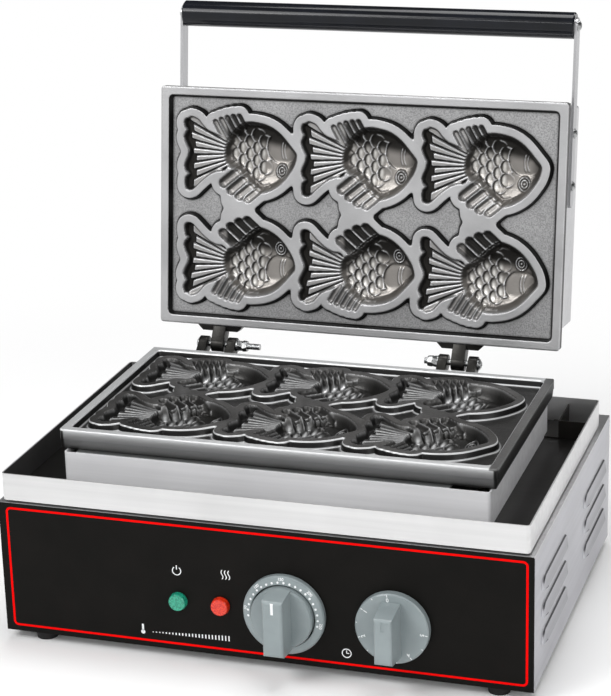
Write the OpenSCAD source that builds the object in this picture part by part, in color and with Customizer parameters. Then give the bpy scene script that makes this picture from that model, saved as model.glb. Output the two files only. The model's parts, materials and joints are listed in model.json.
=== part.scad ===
/* [Body] */
// Width over the side panels
body_w = 407; // [380:1:440]
// Depth of the body, front panel to rear panel
body_d = 285; // [275:1:310]
// Height of the body without its feet
body_h = 105; // [98:1:125]
// Height of the rubber feet
foot_h = 7.5; // [4:0.5:15]
// Thickness of the sheet steel
sheet = 1; // [0.8:0.1:1.5]
// Length of one louvre
louvre_l = 88; // [60:1:92]
// Height of one louvre
louvre_h = 10; // [7:0.5:14]
// How far a louvre stands out of its panel
louvre_out = 3; // [2:0.5:5]

/* [Drip pan] */
// Width of the pan
pan_w = 400; // [375:1:430]
// Depth of the pan
pan_d = 257; // [245:1:270]
// Height of the pan
pan_h = 21; // [16:1:30]

/* [Plates] */
// Width of each cast plate
plate_w = 337; // [325:1:345]
// Depth of each cast plate
plate_d = 195.5; // [190:0.5:200]
// Thickness of each plate at its edge
plate_t = 16; // [14:0.5:20]
// Height of the meeting faces above the pan's rim
plate_rise = 23.7; // [20:0.1:30]
// Width of the raised rim round each plate
rim_w = 6.5; // [5:0.5:8]
// Depth of the field between the rim and the lands
field_dp = 6; // [3:0.5:7]
// Greatest depth of a fish mould in one plate
bowl_dp = 14.5; // [10:0.5:16]
// Width of the land that borders each mould
land_w = 6; // [4:0.5:7]
// Distance from mould to mould along a row
fish_pitch = 100.3; // [98:0.1:104]

/* [Lid] */
// How far the open lid leans back past upright
lean = 8; // [0:0.5:20]
// Distance of the hinge pins behind the plates
pivot_back = 15.6; // [13:0.1:20]
// Depth of the cover over the upper heater
cover_h = 52; // [35:1:60]
// Reach of the handle bar beyond the plate's front edge
handle_reach = 57; // [45:1:75]
// Diameter of the handle bar
handle_dia = 21; // [16:0.5:28]

/* [Controls] */
// Diameter of the fixed temperature ring
ring_dia = 62; // [54:1:66]
// Diameter of the timer knob
timer_dia = 55; // [45:1:60]
// How far the knobs stand out from the panel
knob_out = 30; // [20:1:35]
// Diameter of the pilot lamp lenses
lamp_dia = 14; // [10:0.5:18]

/* [Hidden] */
$fn = 48;
eps = 0.05;
gap = 0.3;
seal_t = 1.5;
wall = 1.2;

deck_z = foot_h + body_h;
pan_z = deck_z + seal_t;
rim_z = pan_z + pan_h;
face_z = rim_z + plate_rise;
front_y = -pan_d / 2 - 1;
rear_y = front_y + body_d;
plate_front = -90.3;
plate_rear = plate_front + plate_d;
plate_mid = (plate_front + plate_rear) / 2;
pivot_y = plate_rear + pivot_back;
pivot_z = face_z + 0.9;
lid_z = face_z + gap;
open_turn = -(90 + lean);
box_w = 327.6;
box_front = plate_front - 3.9;
box_rear = plate_rear - 2.5;
box_top = face_z - plate_t - 0.5;
cover_w = 327;
cover_front = plate_front + 7.5;
cover_rear = plate_rear - 11;
cover_z = lid_z + plate_t;
arm_t = 2;
arm_w = 12.7;
arm_z = cover_z + cover_h / 2;
bar_y = plate_front - handle_reach;
control_z = deck_z - 64.5;
ring_x = 20;
timer_x = 101.7;
lamp_green_x = -62.5;
lamp_red_x = -29.5;
label_t = 0.5;
panel_y = front_y - label_t;
row_a = 54.5;
hinge_x = [-116.7, 87.2];
bolt_r = 2.5;
bolt_end = [36, 28];
knuckle_r = 6.3;
ear_near = 8.5;
ear_far = 16;
lug_w = 11;
lug_t = 5;
lug_base = 40;
land_nook = 3;
washer_t = 1;
nut_af = 8;
nut_h = 4;
run_fit = 0.05;
foot_x = 176;
foot_in = 12;
foot_r = 9.2;
slot_w = 0.7;
vent = [4, 34];
tray_h = 10;
bush_r = 4.9;
shaft_r = 3;
shaft_in = 14;
louvre_y = [-60, 92.5];
louvre_z = deck_z - 27.5 - louvre_h;
louvre_pitch = 21;
louvre_ledge = [0.9, 1.3];
gland_x = 150;
gland_z = foot_h + 28;
gland_r = 6;
screw_x = [-190, 0, 190];
screw_z = [foot_h + 14, deck_z - 14];
guard_x = 175;
guard_y = 89;
guard_top = rim_z - 5;
support_x = [-154, 134];
angle_w = 8;
angle_t = 1.5;
element_r = 3.25;
bend_x = 115;
run_pitch = 40;
element_z = face_z - plate_t - 8 - element_r - 0.1;
lid_element_z = lid_z + plate_t + 8 + element_r + 0.1;
bush_x = 120;
arm_end = plate_rear - 115;
arm_screw_y = [plate_rear - 168, plate_rear - 126];

// The part's origin is the middle of its outline on the floor, lid open.
function open_y(y, z) = pivot_y + (y - pivot_y) * cos(open_turn) - (z - pivot_z) * sin(open_turn);
mid_y = (open_y(cover_front, cover_z + cover_h) + panel_y - knob_out) / 2;

// Places a piece of the body
module seated() {
    translate([0, -mid_y, 0]) children();
}

// Places a piece of the lid, drawn closed, in the open pose
module opened() {
    translate([0, pivot_y - mid_y, pivot_z]) rotate([open_turn, 0, 0])
        translate([0, -pivot_y, -pivot_z]) children();
}

// A rectangle with round corners
module round_rect(w, d, r) {
    square([w - 2 * r, d], center = true);
    square([w, d - 2 * r], center = true);
    for (x = [-1, 1], y = [-1, 1]) translate([x * (w / 2 - r), y * (d / 2 - r)]) circle(r = r);
}

// A box given by its low and high corners
module span(a, b) {
    translate(a) cube(b - a);
}

// A round pan-head screw along +Z, its head at the top
module screw(r, l, head_r, head_h) {
    dome_r = head_r * 1.25;
    slot_l = head_r * 1.1;
    translate([0, 0, -l]) cylinder(r = r, h = l + head_h / 2);
    difference() {
        translate([0, 0, head_h - dome_r]) intersection() {
            sphere(r = dome_r);
            translate([0, 0, dome_r - head_h]) cylinder(r = head_r, h = head_h);
        }
        for (a = [0, 90]) rotate([0, 0, a]) translate([-slot_l / 2, -slot_w / 2, head_h * 0.45])
            cube([slot_l, slot_w, head_h]);
    }
}

// Fish mould, drawn round its own middle: head towards +X, back fin towards +Y
body_edge = [[49.1, -1.8], [48.3, 2.6], [46.6, 7], [44.2, 11], [40.9, 15.8], [37.2, 20], [33, 23.6],
    [28.2, 26.6], [23, 28.8], [17.6, 29.9], [13.4, 28.6], [8.6, 25.2], [4.2, 21.4], [0, 17], [-4.2, 13.4],
    [-9.5, 10], [-14.5, 7], [-16, 0], [-15, -8], [-12, -13.5], [-8.4, -18.6], [-4.4, -23.2], [0.4, -26.8],
    [6, -28.6], [12.2, -28.8], [18.2, -28], [23.8, -26.6], [29.2, -24.2], [34.2, -20.8], [38.6, -16.6],
    [42.6, -12], [46.4, -7.6], [48.6, -4.6]];
tail_edge = [[-44.2, 30.3], [-47.2, 28.5], [-48, 24.5], [-47.4, 19.5], [-45.7, 16.8], [-47.7, 13.5],
    [-48.3, 10], [-47.2, 6], [-45.3, 1.5], [-45, -3], [-46.7, -7], [-48.4, -11], [-48.7, -14.5],
    [-47, -19], [-48.4, -22.5], [-48.7, -26], [-47.2, -29], [-44.8, -29.6], [-42.2, -31.1], [-38.8, -30.4],
    [-35.2, -28.6], [-31.7, -24.6], [-26.2, -20], [-10, -13], [-6, 0], [-12, 12], [-18.7, 13.5],
    [-24.7, 16], [-30.7, 20.5], [-35.7, 25.2], [-40.2, 29.4]];
// The whole fish in plain strokes, which the lands follow at their own width
fish_edge = [[49.1, -2], [46.6, 7], [40.9, 15.8], [33, 23.6], [23, 28.8], [14.5, 30.5], [12, 35], [7, 38],
    [0, 36.2], [-8, 32], [-15, 26.5], [-17.6, 22], [-17, 14.5], [-24.7, 16.5], [-35.7, 25.2],
    [-41, 29.6], [-45, 30.3], [-48, 26.5], [-48.2, 9], [-45.8, -1], [-48.6, -12], [-48.6, -27],
    [-45, -30.6], [-38, -30.4], [-31, -24.4], [-26.5, -23], [-23, -29.5], [-12, -33.8], [-1, -35.2],
    [3.5, -30], [12.2, -28.8], [23.8, -26.6], [34.2, -20.8], [42.6, -12]];
tail_dp = 7;
tail_root = [5.3, -2.1];
rib_turn = 9.2;
rib_start = 17;
rib_l = 30;
rib_r = 1.7;
fin_tilt = -40;
fin_l = 16;
back_fin = [[-13.6, 22.5], [-7, 28], [0, 32], [7.2, 33.8]];
back_fin_r = 4.2;
belly_tilt = 60;
belly_fin = [for (i = [0:4]) [-21 + 5.1 * i, -26.8 - 5.4 * sin(i * 22)]];
belly_fin_r = 2.4;
bowl_c = [17, -0.5];
bowl_edge = 4;
bowl_reach = 29;
bowl_r = (pow(bowl_reach, 2) + pow(bowl_dp - bowl_edge, 2)) / (2 * (bowl_dp - bowl_edge));
scale_r = 5.4;
scale_span = 15;
scale_pitch = [5.8, 10.4];
scales = [for (j = [0:3], i = [-2:2])
    let (p = [0.7 + scale_pitch.x * j, -0.9 + scale_pitch.y * (i + 0.5 * ((j + 1) % 2))])
    if (norm(p - [9.5, -1]) < scale_span) p];
gill = [33.5, -7.5];
gill_r = 14;
eye = [33, 11.5];
eye_r = 3.6;
rim_r = 0.75;

// What the mould takes out of a plate whose face is at z = 0, material below
module fish_cut() {
    difference() {
        intersection() {
            translate([0, 0, -bowl_dp - 1]) linear_extrude(bowl_dp + 2) polygon(body_edge);
            translate([bowl_c.x, bowl_c.y, bowl_r - bowl_dp]) sphere(r = bowl_r);
        }
        scale_rims();
        eye_rims();
    }
    difference() {
        translate([0, 0, -tail_dp]) linear_extrude(tail_dp + 1) polygon(tail_edge);
        tail_ribs();
    }
    for (p = back_fin) translate([p.x, p.y, 1.2]) rotate([0, 0, fin_tilt]) {
        sphere(r = back_fin_r);
        rotate([0, 90, 0]) cylinder(r = back_fin_r, h = fin_l);
    }
    for (p = belly_fin) translate([p.x, p.y, 0]) rotate([0, 0, belly_tilt]) {
        sphere(r = belly_fin_r);
        rotate([0, 90, 0]) cylinder(r = belly_fin_r, h = fin_l);
    }
}

// Ribs that stand up from the tail's floor and fan out of its root
module tail_ribs() {
    for (i = [-3:3]) translate([tail_root.x, tail_root.y, -tail_dp]) rotate([0, 0, 180 + i * rib_turn])
        translate([rib_start, 0, 0]) rotate([0, 90, 0]) cylinder(r = rib_r, h = rib_l, $fn = 16);
}

// Puts a shape on the bowl's floor under the point p, its Z axis square to the floor
module on_bowl(p) {
    let (d = p - bowl_c, a = atan2(d.y, d.x), t = asin(norm(d) / bowl_r))
        translate([bowl_c.x, bowl_c.y, bowl_r - bowl_dp]) rotate([0, 0, a]) rotate([0, -t, 0])
            translate([0, 0, -bowl_r]) rotate([0, 0, -a]) children();
}

module scale_rims() {
    for (p = scales) on_bowl(p) rotate([0, 0, 115]) rotate_extrude(angle = 130, $fn = 36)
        translate([scale_r, 0]) circle(r = rim_r, $fn = 14);
    on_bowl(gill) rotate([0, 0, 150]) rotate_extrude(angle = 60, $fn = 48)
        translate([gill_r, 0]) circle(r = rim_r, $fn = 14);
}

module eye_rims() {
    on_bowl(eye) {
        rotate_extrude($fn = 32) translate([eye_r, 0]) circle(r = rim_r, $fn = 14);
        sphere(r = 2 * rim_r, $fn = 24);
    }
}

// Repeats a child at the six moulds; the second row is the first one mirrored
module six() {
    for (i = [-1:1]) {
        translate([i * fish_pitch, row_a]) children();
        translate([i * fish_pitch, plate_d - row_a]) mirror([0, 1]) children();
    }
}

// Plan of the lands, the raised borders that join the moulds
module lands() {
    offset(r = -land_nook, $fn = 16) offset(r = land_w + land_nook, $fn = 16) six() polygon(fish_edge);
}

// A cast plate with its face up at z = 0, hinge edge on y = 0, six moulds and a back boss
module cast_plate() {
    difference() {
        union() {
            translate([0, plate_d / 2, -plate_t / 2]) linear_extrude(plate_t / 2)
                round_rect(plate_w, plate_d, 3);
            translate([0, plate_d / 2, -plate_t]) linear_extrude(plate_t / 2 + eps)
                round_rect(plate_w - 1.6, plate_d - 1.6, 3);
            translate([0, plate_d / 2, -plate_t - 8]) linear_extrude(8 + eps)
                round_rect(plate_w - 34, plate_d - 30, 8);
        }
        translate([0, 0, -field_dp]) linear_extrude(field_dp + 1) difference() {
            translate([0, plate_d / 2]) round_rect(plate_w - 2 * rim_w, plate_d - 2 * rim_w, 4.5);
            lands();
        }
        six() fish_cut();
    }
}

// One hinge eye: a round end on the pin's axis, its web running to the plate's rear face
module hinge_eye(x0, x1, web) {
    translate([x0, 0, 0]) rotate([90, 0, 90]) linear_extrude(x1 - x0) polygon(web);
    translate([x0, pivot_y, pivot_z]) rotate([0, 90, 0]) cylinder(r = knuckle_r, h = x1 - x0);
}

module pin_bores(r) {
    for (x = hinge_x) translate([x - 30, pivot_y, pivot_z]) rotate([0, 90, 0])
        cylinder(r = r, h = 60);
}

module lower_plate() {
    web = [[plate_rear - 1, face_z - 13], [plate_rear - 1, face_z - 5],
        [pivot_y - 5.6, pivot_z + 2.9], [pivot_y + 1.6, pivot_z - 6.1]];
    color("#2b2a28") seated() difference() {
        union() {
            translate([0, plate_rear, face_z]) mirror([0, 1, 0]) cast_plate();
            for (x = hinge_x) {
                hinge_eye(x - ear_far, x - ear_near, web);
                hinge_eye(x + ear_near, x + ear_far, web);
            }
        }
        pin_bores(bolt_r + run_fit);
    }
}

module upper_plate() {
    web = [[plate_rear - 1, lid_z + 14], [plate_rear + lug_t, lid_z + 14],
        [pivot_y + 5.1, pivot_z + 3.7], [pivot_y - 4.4, pivot_z - 4.5],
        [plate_rear + lug_t, lid_z + 2.5], [plate_rear - 1, lid_z + 2.5]];
    color("#6a6a66") opened() difference() {
        union() {
            translate([0, plate_rear, lid_z]) rotate([180, 0, 0]) cast_plate();
            for (x = hinge_x) {
                hinge_eye(x - lug_w / 2, x + lug_w / 2, web);
                translate([x, plate_rear - 1, lid_z + 2.5]) linear_extrude(plate_t - 5)
                    polygon([[-lug_base / 2, 0], [-lug_base / 2, 1], [-lug_base / 2 + 5, 1 + lug_t],
                        [lug_base / 2 - 5, 1 + lug_t], [lug_base / 2, 1], [lug_base / 2, 0]]);
            }
        }
        pin_bores(bolt_r + run_fit);
    }
}

module hinge_bolts() {
    color("#b8b8b4") seated() for (i = [0, 1]) let (out = i == 0 ? -1 : 1)
        translate([hinge_x[i] + out * ear_far, pivot_y, pivot_z]) rotate([0, out * 90, 0])
            screw(bolt_r, ear_far + bolt_end[i], 4.8, 3.2);
}

module hinge_washers() {
    color("#c4c4c0") seated() for (i = [0, 1]) let (s = i == 0 ? 1 : -1)
        translate([hinge_x[i] + s * ear_far, pivot_y, pivot_z]) rotate([0, s * 90, 0])
            difference() {
                cylinder(r = 5, h = washer_t);
                translate([0, 0, -1]) cylinder(r = bolt_r + run_fit, h = 4);
            }
}

module hinge_nuts() {
    color("#a8a8a4") seated() for (i = [0, 1], k = [0, 1]) let (s = i == 0 ? 1 : -1)
        translate([hinge_x[i] + s * (ear_far + washer_t + k * (nut_h + 0.2)), pivot_y, pivot_z])
            rotate([0, s * 90, 0]) rotate([0, 0, 15 + 20 * k]) difference() {
                intersection() {
                    cylinder(r = nut_af / sqrt(3), h = nut_h, $fn = 6);
                    translate([0, 0, -0.1]) cylinder(r1 = nut_af / 2 + 0.9, r2 = nut_af / 2 + 0.2,
                        h = nut_h + 0.2);
                }
                translate([0, 0, -1]) cylinder(r = bolt_r + run_fit, h = nut_h + 2);
            }
}

// A shallow tray of sheet steel: floor and upturned edge, its corners rounded
module tray(w, d, h, r, t) {
    difference() {
        linear_extrude(h) round_rect(w, d, r);
        translate([0, 0, t]) linear_extrude(h) round_rect(w - 2 * t, d - 2 * t, r - t);
    }
}

module bottom_plate() {
    color("#9c9c98") seated() translate([0, (front_y + rear_y) / 2, foot_h]) difference() {
        tray(body_w - 2 * sheet, body_d - 2 * sheet, tray_h, 2.2, sheet);
        for (x = [-60:20:60], y = [-50:50:50]) translate([x, y, -1])
            linear_extrude(sheet + 2) round_rect(vent.x, vent.y, vent.x / 2 - 0.1);
    }
}

module rubber_feet() {
    color("#242424") seated() for (x = [-foot_x, foot_x], y = [front_y + foot_in, rear_y - foot_in])
        translate([x, y, 0]) difference() {
            cylinder(r1 = foot_r - 1.2, r2 = foot_r, h = foot_h);
            translate([0, 0, -1]) cylinder(r = 3, h = 4);
        }
}

// Holes for the control shafts and lamps, through the front panel and its label
module control_holes(y0, y1, r) {
    for (x = [ring_x, timer_x, lamp_green_x, lamp_red_x])
        translate([x, y0, control_z]) rotate([-90, 0, 0]) cylinder(r = r, h = y1 - y0);
}

module front_panel() {
    color("#a4a4a0") seated() difference() {
        span([-body_w / 2, front_y, foot_h], [body_w / 2, front_y + sheet, deck_z - sheet]);
        control_holes(front_y - 1, front_y + sheet + 1, bush_r + 0.1);
    }
}

module control_label() {
    color("#1a1816") seated() difference() {
        span([-body_w / 2 + 0.4, panel_y, foot_h + 0.4], [body_w / 2 - 0.4, front_y, deck_z - 0.4]);
        control_holes(panel_y - 1, front_y + 1, bush_r + 0.1);
    }
}

// The pressed form of one louvre, t inside its outer face: a steep ledge around the top and the
// ends, then a flatter slope out to the open lower edge
module louvre_form(t) {
    side = [
        [0, -2 * sheet], [louvre_h - t, -2 * sheet], [louvre_h - t, -t],
        [louvre_h - t - louvre_ledge[0], louvre_ledge[1] - t], [0, louvre_out - t],
    ];
    straight = louvre_l - 2 * louvre_h;
    for (s = [-1, 1]) translate([0, s * straight / 2, 0]) rotate([0, 90, 0]) rotate_extrude($fn = 72)
        polygon(side);
    translate([0, -straight / 2, 0]) rotate([0, -90, -90]) linear_extrude(straight) polygon(side);
}

// Repeats a child at the six louvres of one side
module louvre_places() {
    for (y = louvre_y, i = [0:2])
        translate([body_w / 2, y, louvre_z - louvre_pitch * i]) children();
}

// A side panel with louvres that open downwards
module side_panel() {
    difference() {
        union() {
            span([body_w / 2 - sheet, front_y + sheet, foot_h], [body_w / 2, rear_y - sheet, deck_z - sheet]);
            louvre_places() intersection() {
                louvre_form(0);
                span([-sheet / 2, -louvre_l, 0], [louvre_out + 1, louvre_l, louvre_h + 2]);
            }
        }
        louvre_places() intersection() {
            louvre_form(sheet);
            span([-sheet - 1, -louvre_l, -eps], [louvre_out + 1, louvre_l, louvre_h + 2]);
        }
    }
}

module left_side_panel() {
    color("#b0b0ac") seated() mirror([1, 0, 0]) side_panel();
}

module right_side_panel() {
    color("#b0b0ac") seated() side_panel();
}

module rear_panel() {
    color("#a4a4a0") seated() difference() {
        span([-body_w / 2, rear_y - sheet, foot_h], [body_w / 2, rear_y, deck_z - sheet]);
        translate([gland_x, rear_y + 1, gland_z]) rotate([90, 0, 0]) cylinder(r = gland_r + 0.1, h = 4);
        for (x = screw_x, z = screw_z) translate([x, rear_y + 1, z]) rotate([90, 0, 0])
            cylinder(r = 1.6, h = 4);
    }
}

module cable_gland() {
    color("#262626") seated() translate([gland_x, rear_y, gland_z]) rotate([-90, 0, 0]) difference() {
        union() {
            translate([0, 0, -8]) cylinder(r = gland_r, h = 9);
            cylinder(r = 9.5, h = 5, $fn = 6);
            translate([0, 0, 5 - eps]) cylinder(r1 = 7.6, r2 = 6.4, h = 7);
            translate([0, 0, -sheet - 4]) cylinder(r = 9.5, h = 4, $fn = 6);
        }
        translate([0, 0, -9]) cylinder(r = 3.6, h = 30);
    }
}

module panel_screws() {
    color("#b4b4b0") seated() for (x = screw_x, z = screw_z)
        translate([x, rear_y, z]) rotate([-90, 0, 0]) screw(1.5, 7, 3, 2);
}

// The way through pan, seal and deck for the heater leads
module lead_ways(z0, z1) {
    translate([0, plate_mid, z0]) cylinder(r = 18, h = z1 - z0);
    span([guard_x + 2, guard_y + 2, z0], [pan_w / 2 - 2, pan_d / 2 - 2.5, z1]);
}

module top_deck() {
    color("#a8a8a4") seated() difference() {
        span([-body_w / 2, front_y, deck_z - sheet], [body_w / 2, rear_y, deck_z]);
        lead_ways(deck_z - 3, deck_z + 1);
    }
}

module pan_seal() {
    color("#1c1c1c") seated() translate([0, 0, deck_z]) difference() {
        linear_extrude(seal_t) round_rect(pan_w - 4, pan_d - 4, 3);
        translate([0, 0, -1]) linear_extrude(seal_t + 2) round_rect(pan_w - 24, pan_d - 24, 3);
    }
}

module drip_pan() {
    color("#b4b4b0") seated() difference() {
        translate([0, 0, pan_z]) tray(pan_w, pan_d, pan_h, 3, sheet);
        lead_ways(pan_z - 1, pan_z + 3);
    }
}

module lead_guard() {
    z0 = pan_z + sheet;
    color("#c0c0bc") seated() {
        span([box_w / 2, guard_y, z0], [guard_x + sheet, pan_d / 2 - 1.5, z0 + sheet]);
        span([guard_x, guard_y, z0], [guard_x + sheet, pan_d / 2 - 1.5, guard_top]);
        span([guard_x, guard_y, z0], [pan_w / 2 - 1.2, guard_y + sheet, guard_top]);
    }
}

module heater_box() {
    color("#a8a8a4") seated() translate([0, (box_front + box_rear) / 2, pan_z + sheet]) difference() {
        linear_extrude(box_top - pan_z - sheet) round_rect(box_w, box_rear - box_front, 2.5);
        translate([0, 0, -1]) linear_extrude(box_top)
            round_rect(box_w - 2 * wall, box_rear - box_front - 2 * wall, 1.3);
    }
}

// Angle strips along the front and back of the box, on which the lower plate sits
module plate_support() {
    z = face_z - plate_t;
    y0 = box_front + wall;
    y1 = box_rear - wall;
    color("#8a8a86") seated() {
        span([support_x.x, y0, z - angle_t], [support_x.y, y0 + angle_w, z]);
        span([support_x.x, y0, z - angle_w], [support_x.y, y0 + angle_t, z]);
        span([support_x.x, y1 - angle_w, z - angle_t], [support_x.y, y1, z]);
        span([support_x.x, y1 - angle_t, z - angle_w], [support_x.y, y1, z]);
    }
}

// A tubular heating element in four runs joined by three bends, its middle at the origin
module element() {
    for (i = [0:3]) translate([-bend_x, (i - 1.5) * run_pitch, 0]) rotate([0, 90, 0])
        cylinder(r = element_r, h = 2 * bend_x, $fn = 24);
    for (i = [0:2]) let (s = i == 1 ? -1 : 1)
        translate([s * bend_x, (i - 1) * run_pitch, 0]) rotate([0, 0, s * -90])
            rotate_extrude(angle = 180, $fn = 40) translate([run_pitch / 2, 0])
                circle(r = element_r, $fn = 24);
    for (i = [0, 3]) translate([-bend_x - 18, (i - 1.5) * run_pitch, 0]) rotate([0, 90, 0])
        cylinder(r = 1.8, h = 20, $fn = 20);
}

// Bars that hold the element against its plate, clearing the element by a hair
module clamp() {
    for (x = [-70, 70]) {
        translate([x - 9, -82, 0]) cube([18, 164, 2]);
        for (y = [-76, 0, 76]) translate([x, y, 2 - eps]) cylinder(r = 4, h = 2 * element_r + 0.1 + eps);
    }
}

module lower_heating_element() {
    color("#6b5a4c") seated() translate([0, plate_mid, element_z]) element();
}

module lower_element_clamp() {
    color("#8c8c88") seated() translate([0, plate_mid, element_z - element_r - 2.1]) clamp();
}

module lower_insulation() {
    color("#d8d2c2") seated() translate([0, plate_mid, pan_z + sheet]) difference() {
        linear_extrude(8) round_rect(300, 170, 4);
        translate([0, 0, -1]) cylinder(r = 18, h = 12);
    }
}

module upper_heating_element() {
    color("#6b5a4c") opened() translate([0, plate_mid, lid_element_z]) element();
}

module upper_element_clamp() {
    color("#8c8c88") opened() translate([0, plate_mid, lid_element_z + element_r + 2.1])
        mirror([0, 0, 1]) clamp();
}

module upper_insulation() {
    color("#d8d2c2") opened() translate([0, plate_mid, cover_z + cover_h - sheet - 12])
        linear_extrude(12) round_rect(cover_w - 12, 160, 4);
}

module lid_cover() {
    color("#b8b8b4") opened() difference() {
        translate([0, (cover_front + cover_rear) / 2, cover_z]) difference() {
            linear_extrude(cover_h) round_rect(cover_w, cover_rear - cover_front, 2.5);
            translate([0, 0, -sheet]) linear_extrude(cover_h)
                round_rect(cover_w - 2 * sheet, cover_rear - cover_front - 2 * sheet, 1.5);
        }
        translate([bush_x, cover_rear + 1, arm_z]) rotate([90, 0, 0]) cylinder(r = 6.1, h = 4);
        for (s = [-1, 1], y = arm_screw_y) translate([s * cover_w / 2, y, arm_z])
            rotate([0, 90, 0]) cylinder(r = 2.1, h = 6, center = true);
    }
}

module lid_lead_bush() {
    color("#262626") opened() translate([bush_x, cover_rear - sheet, arm_z]) rotate([-90, 0, 0])
        difference() {
            union() {
                translate([0, 0, -3]) cylinder(r = 6, h = 7);
                translate([0, 0, sheet]) cylinder(r = 8, h = 3);
                translate([0, 0, -3]) cylinder(r = 8, h = 3);
            }
            translate([0, 0, -4]) cylinder(r = 3.5, h = 12);
        }
}

// A flat bar from the cover's side to the handle bar, its ends round
module handle_arm() {
    difference() {
        union() {
            span([cover_w / 2, bar_y, arm_z - arm_w / 2], [cover_w / 2 + arm_t, arm_end, arm_z + arm_w / 2]);
            for (y = [bar_y, arm_end]) translate([cover_w / 2, y, arm_z]) rotate([0, 90, 0])
                cylinder(r = arm_w / 2, h = arm_t);
        }
        for (y = concat(arm_screw_y, [bar_y])) translate([cover_w / 2 - 1, y, arm_z])
            rotate([0, 90, 0]) cylinder(r = 2.1, h = arm_t + 2);
    }
}

module right_handle_arm() {
    color("#c0c0bc") opened() handle_arm();
}

module left_handle_arm() {
    color("#c0c0bc") opened() mirror([1, 0, 0]) handle_arm();
}

module handle_bar() {
    color("#23252b") opened() translate([-cover_w / 2, bar_y, arm_z]) rotate([0, 90, 0])
        difference() {
            union() {
                cylinder(r1 = handle_dia / 2 - 1, r2 = handle_dia / 2, h = 1);
                translate([0, 0, 1]) cylinder(r = handle_dia / 2, h = cover_w - 2);
                translate([0, 0, cover_w - 1]) cylinder(r1 = handle_dia / 2, r2 = handle_dia / 2 - 1, h = 1);
            }
            for (x = [-1, cover_w - 25]) translate([0, 0, x]) cylinder(r = 2.05, h = 26);
        }
}

module handle_screws() {
    color("#c4c4c0") opened() for (s = [-1, 1])
        translate([s * (cover_w / 2 + arm_t), bar_y, arm_z]) rotate([0, s * 90, 0])
            screw(2, 20, 4.4, 2.6);
}

module arm_screws() {
    color("#c4c4c0") opened() for (s = [-1, 1], y = arm_screw_y)
        translate([s * (cover_w / 2 + arm_t), y, arm_z]) rotate([0, s * 90, 0])
            screw(2, 6, 4, 2.4);
}

// Places a piece on a control axis: its Z axis runs out of the panel, its Y axis up
module on_panel(x) {
    seated() translate([x, panel_y, control_z]) rotate([90, 0, 0]) children();
}

// A control's works behind the panel: case, threaded bush and the bore its shaft runs in
module control_case(w, h, d) {
    difference() {
        union() {
            translate([-w / 2, -h / 2, -label_t - sheet - d]) cube([w, h, d]);
            translate([0, 0, -label_t - sheet - eps]) cylinder(r = bush_r, h = label_t + sheet + 3);
        }
        translate([0, 0, -shaft_in - 0.3]) cylinder(r = shaft_r + run_fit, h = shaft_in + 10);
    }
}

module shaft(l) {
    translate([0, 0, -shaft_in]) cylinder(r = shaft_r, h = shaft_in + l);
}

// A knob's grip: a straight bar with sloping round ends and softened long edges
module grip(l0, l1, w, z0, z1, r) {
    h = z1 - z0;
    intersection() {
        translate([-w / 2, 0, z0]) rotate([90, 0, 90]) linear_extrude(w) polygon(concat(
            [[-l0 / 2, 0], [l0 / 2, 0]],
            [for (k = [0:5]) let (a = k * 17) [l1 / 2 - r + r * cos(a), h - r + r * sin(a)]],
            [for (k = [0:5]) let (a = 95 + k * 17) [-l1 / 2 + r + r * cos(a), h - r + r * sin(a)]]));
        translate([0, l0, z0]) rotate([90, 0, 0]) linear_extrude(2 * l0) polygon(concat(
            [[-w / 2, 0], [w / 2, 0]],
            [for (k = [0:4]) let (a = k * 22.5) [w / 2 - 2.5 + 2.2 * cos(a), h - 2 + 2 * sin(a)]],
            [for (k = [0:4]) let (a = 90 + k * 22.5) [-w / 2 + 2.5 + 2.2 * cos(a), h - 2 + 2 * sin(a)]]));
    }
}

module thermostat_body() {
    color("#d6d0c0") on_panel(ring_x) control_case(38, 44, 30);
}

module thermostat_shaft() {
    color("#c8c8c4") on_panel(ring_x) shaft(20);
}

module temperature_ring() {
    color("#8b9494") on_panel(ring_x) rotate_extrude($fn = 72)
        polygon([[24.4, 0], [ring_dia / 2, 0], [ring_dia / 2, 3.6], [ring_dia / 2 - 1, 4.8],
            [25, 6], [24.4, 5.5]]);
}

module thermostat_knob() {
    color("#8b9494") on_panel(ring_x) difference() {
        union() {
            rotate_extrude($fn = 72) polygon([[0, 4], [19, 4], [19, 1], [23.4, 1], [23.6, 9.5],
                [22.6, 11], [0, 11]]);
            grip(47, 44, 16, 10, knob_out, 3);
        }
        translate([0, 0, -1]) cylinder(r = shaft_r + run_fit, h = 21);
        translate([-1.1, 12, knob_out - 0.4]) cube([2.2, 9, 1]);
    }
}

module timer_body() {
    color("#3a3a3a") on_panel(timer_x) control_case(44, 44, 28);
}

module timer_shaft() {
    color("#c8c8c4") on_panel(timer_x) shaft(20);
}

module timer_knob() {
    r = timer_dia / 2;
    color("#8b9494") on_panel(timer_x) difference() {
        union() {
            rotate_extrude($fn = 72) polygon([[0, 4], [r - 5, 4], [r - 5, 0.6], [r, 0.6],
                [r - 0.2, 5.4], [r - 1.2, 6.4], [0, 6.4]]);
            grip(42, 36, 14, 6, knob_out, 3);
        }
        translate([0, 0, -1]) cylinder(r = shaft_r + run_fit, h = 21);
        translate([-1.1, 9, knob_out - 0.4]) cube([2.2, 8, 1]);
    }
}

// A pilot lamp's lens: a low flat-topped dome on a stem that passes through the panel
module lens() {
    r = lamp_dia / 2;
    rotate_extrude($fn = 40) polygon(concat([[0, -8], [bush_r, -8], [bush_r, 0], [r, 0], [r, 1.2]],
        [for (k = [0:5]) let (a = k * 18) [r - 1.6 + 1.2 * cos(a), 3.4 + 1.4 * sin(a)]], [[0, 5]]));
}

module power_lamp_lens() {
    color("#1f9f7f") on_panel(lamp_green_x) lens();
}

module heat_lamp_lens() {
    color("#e0301f") on_panel(lamp_red_x) lens();
}

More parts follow.
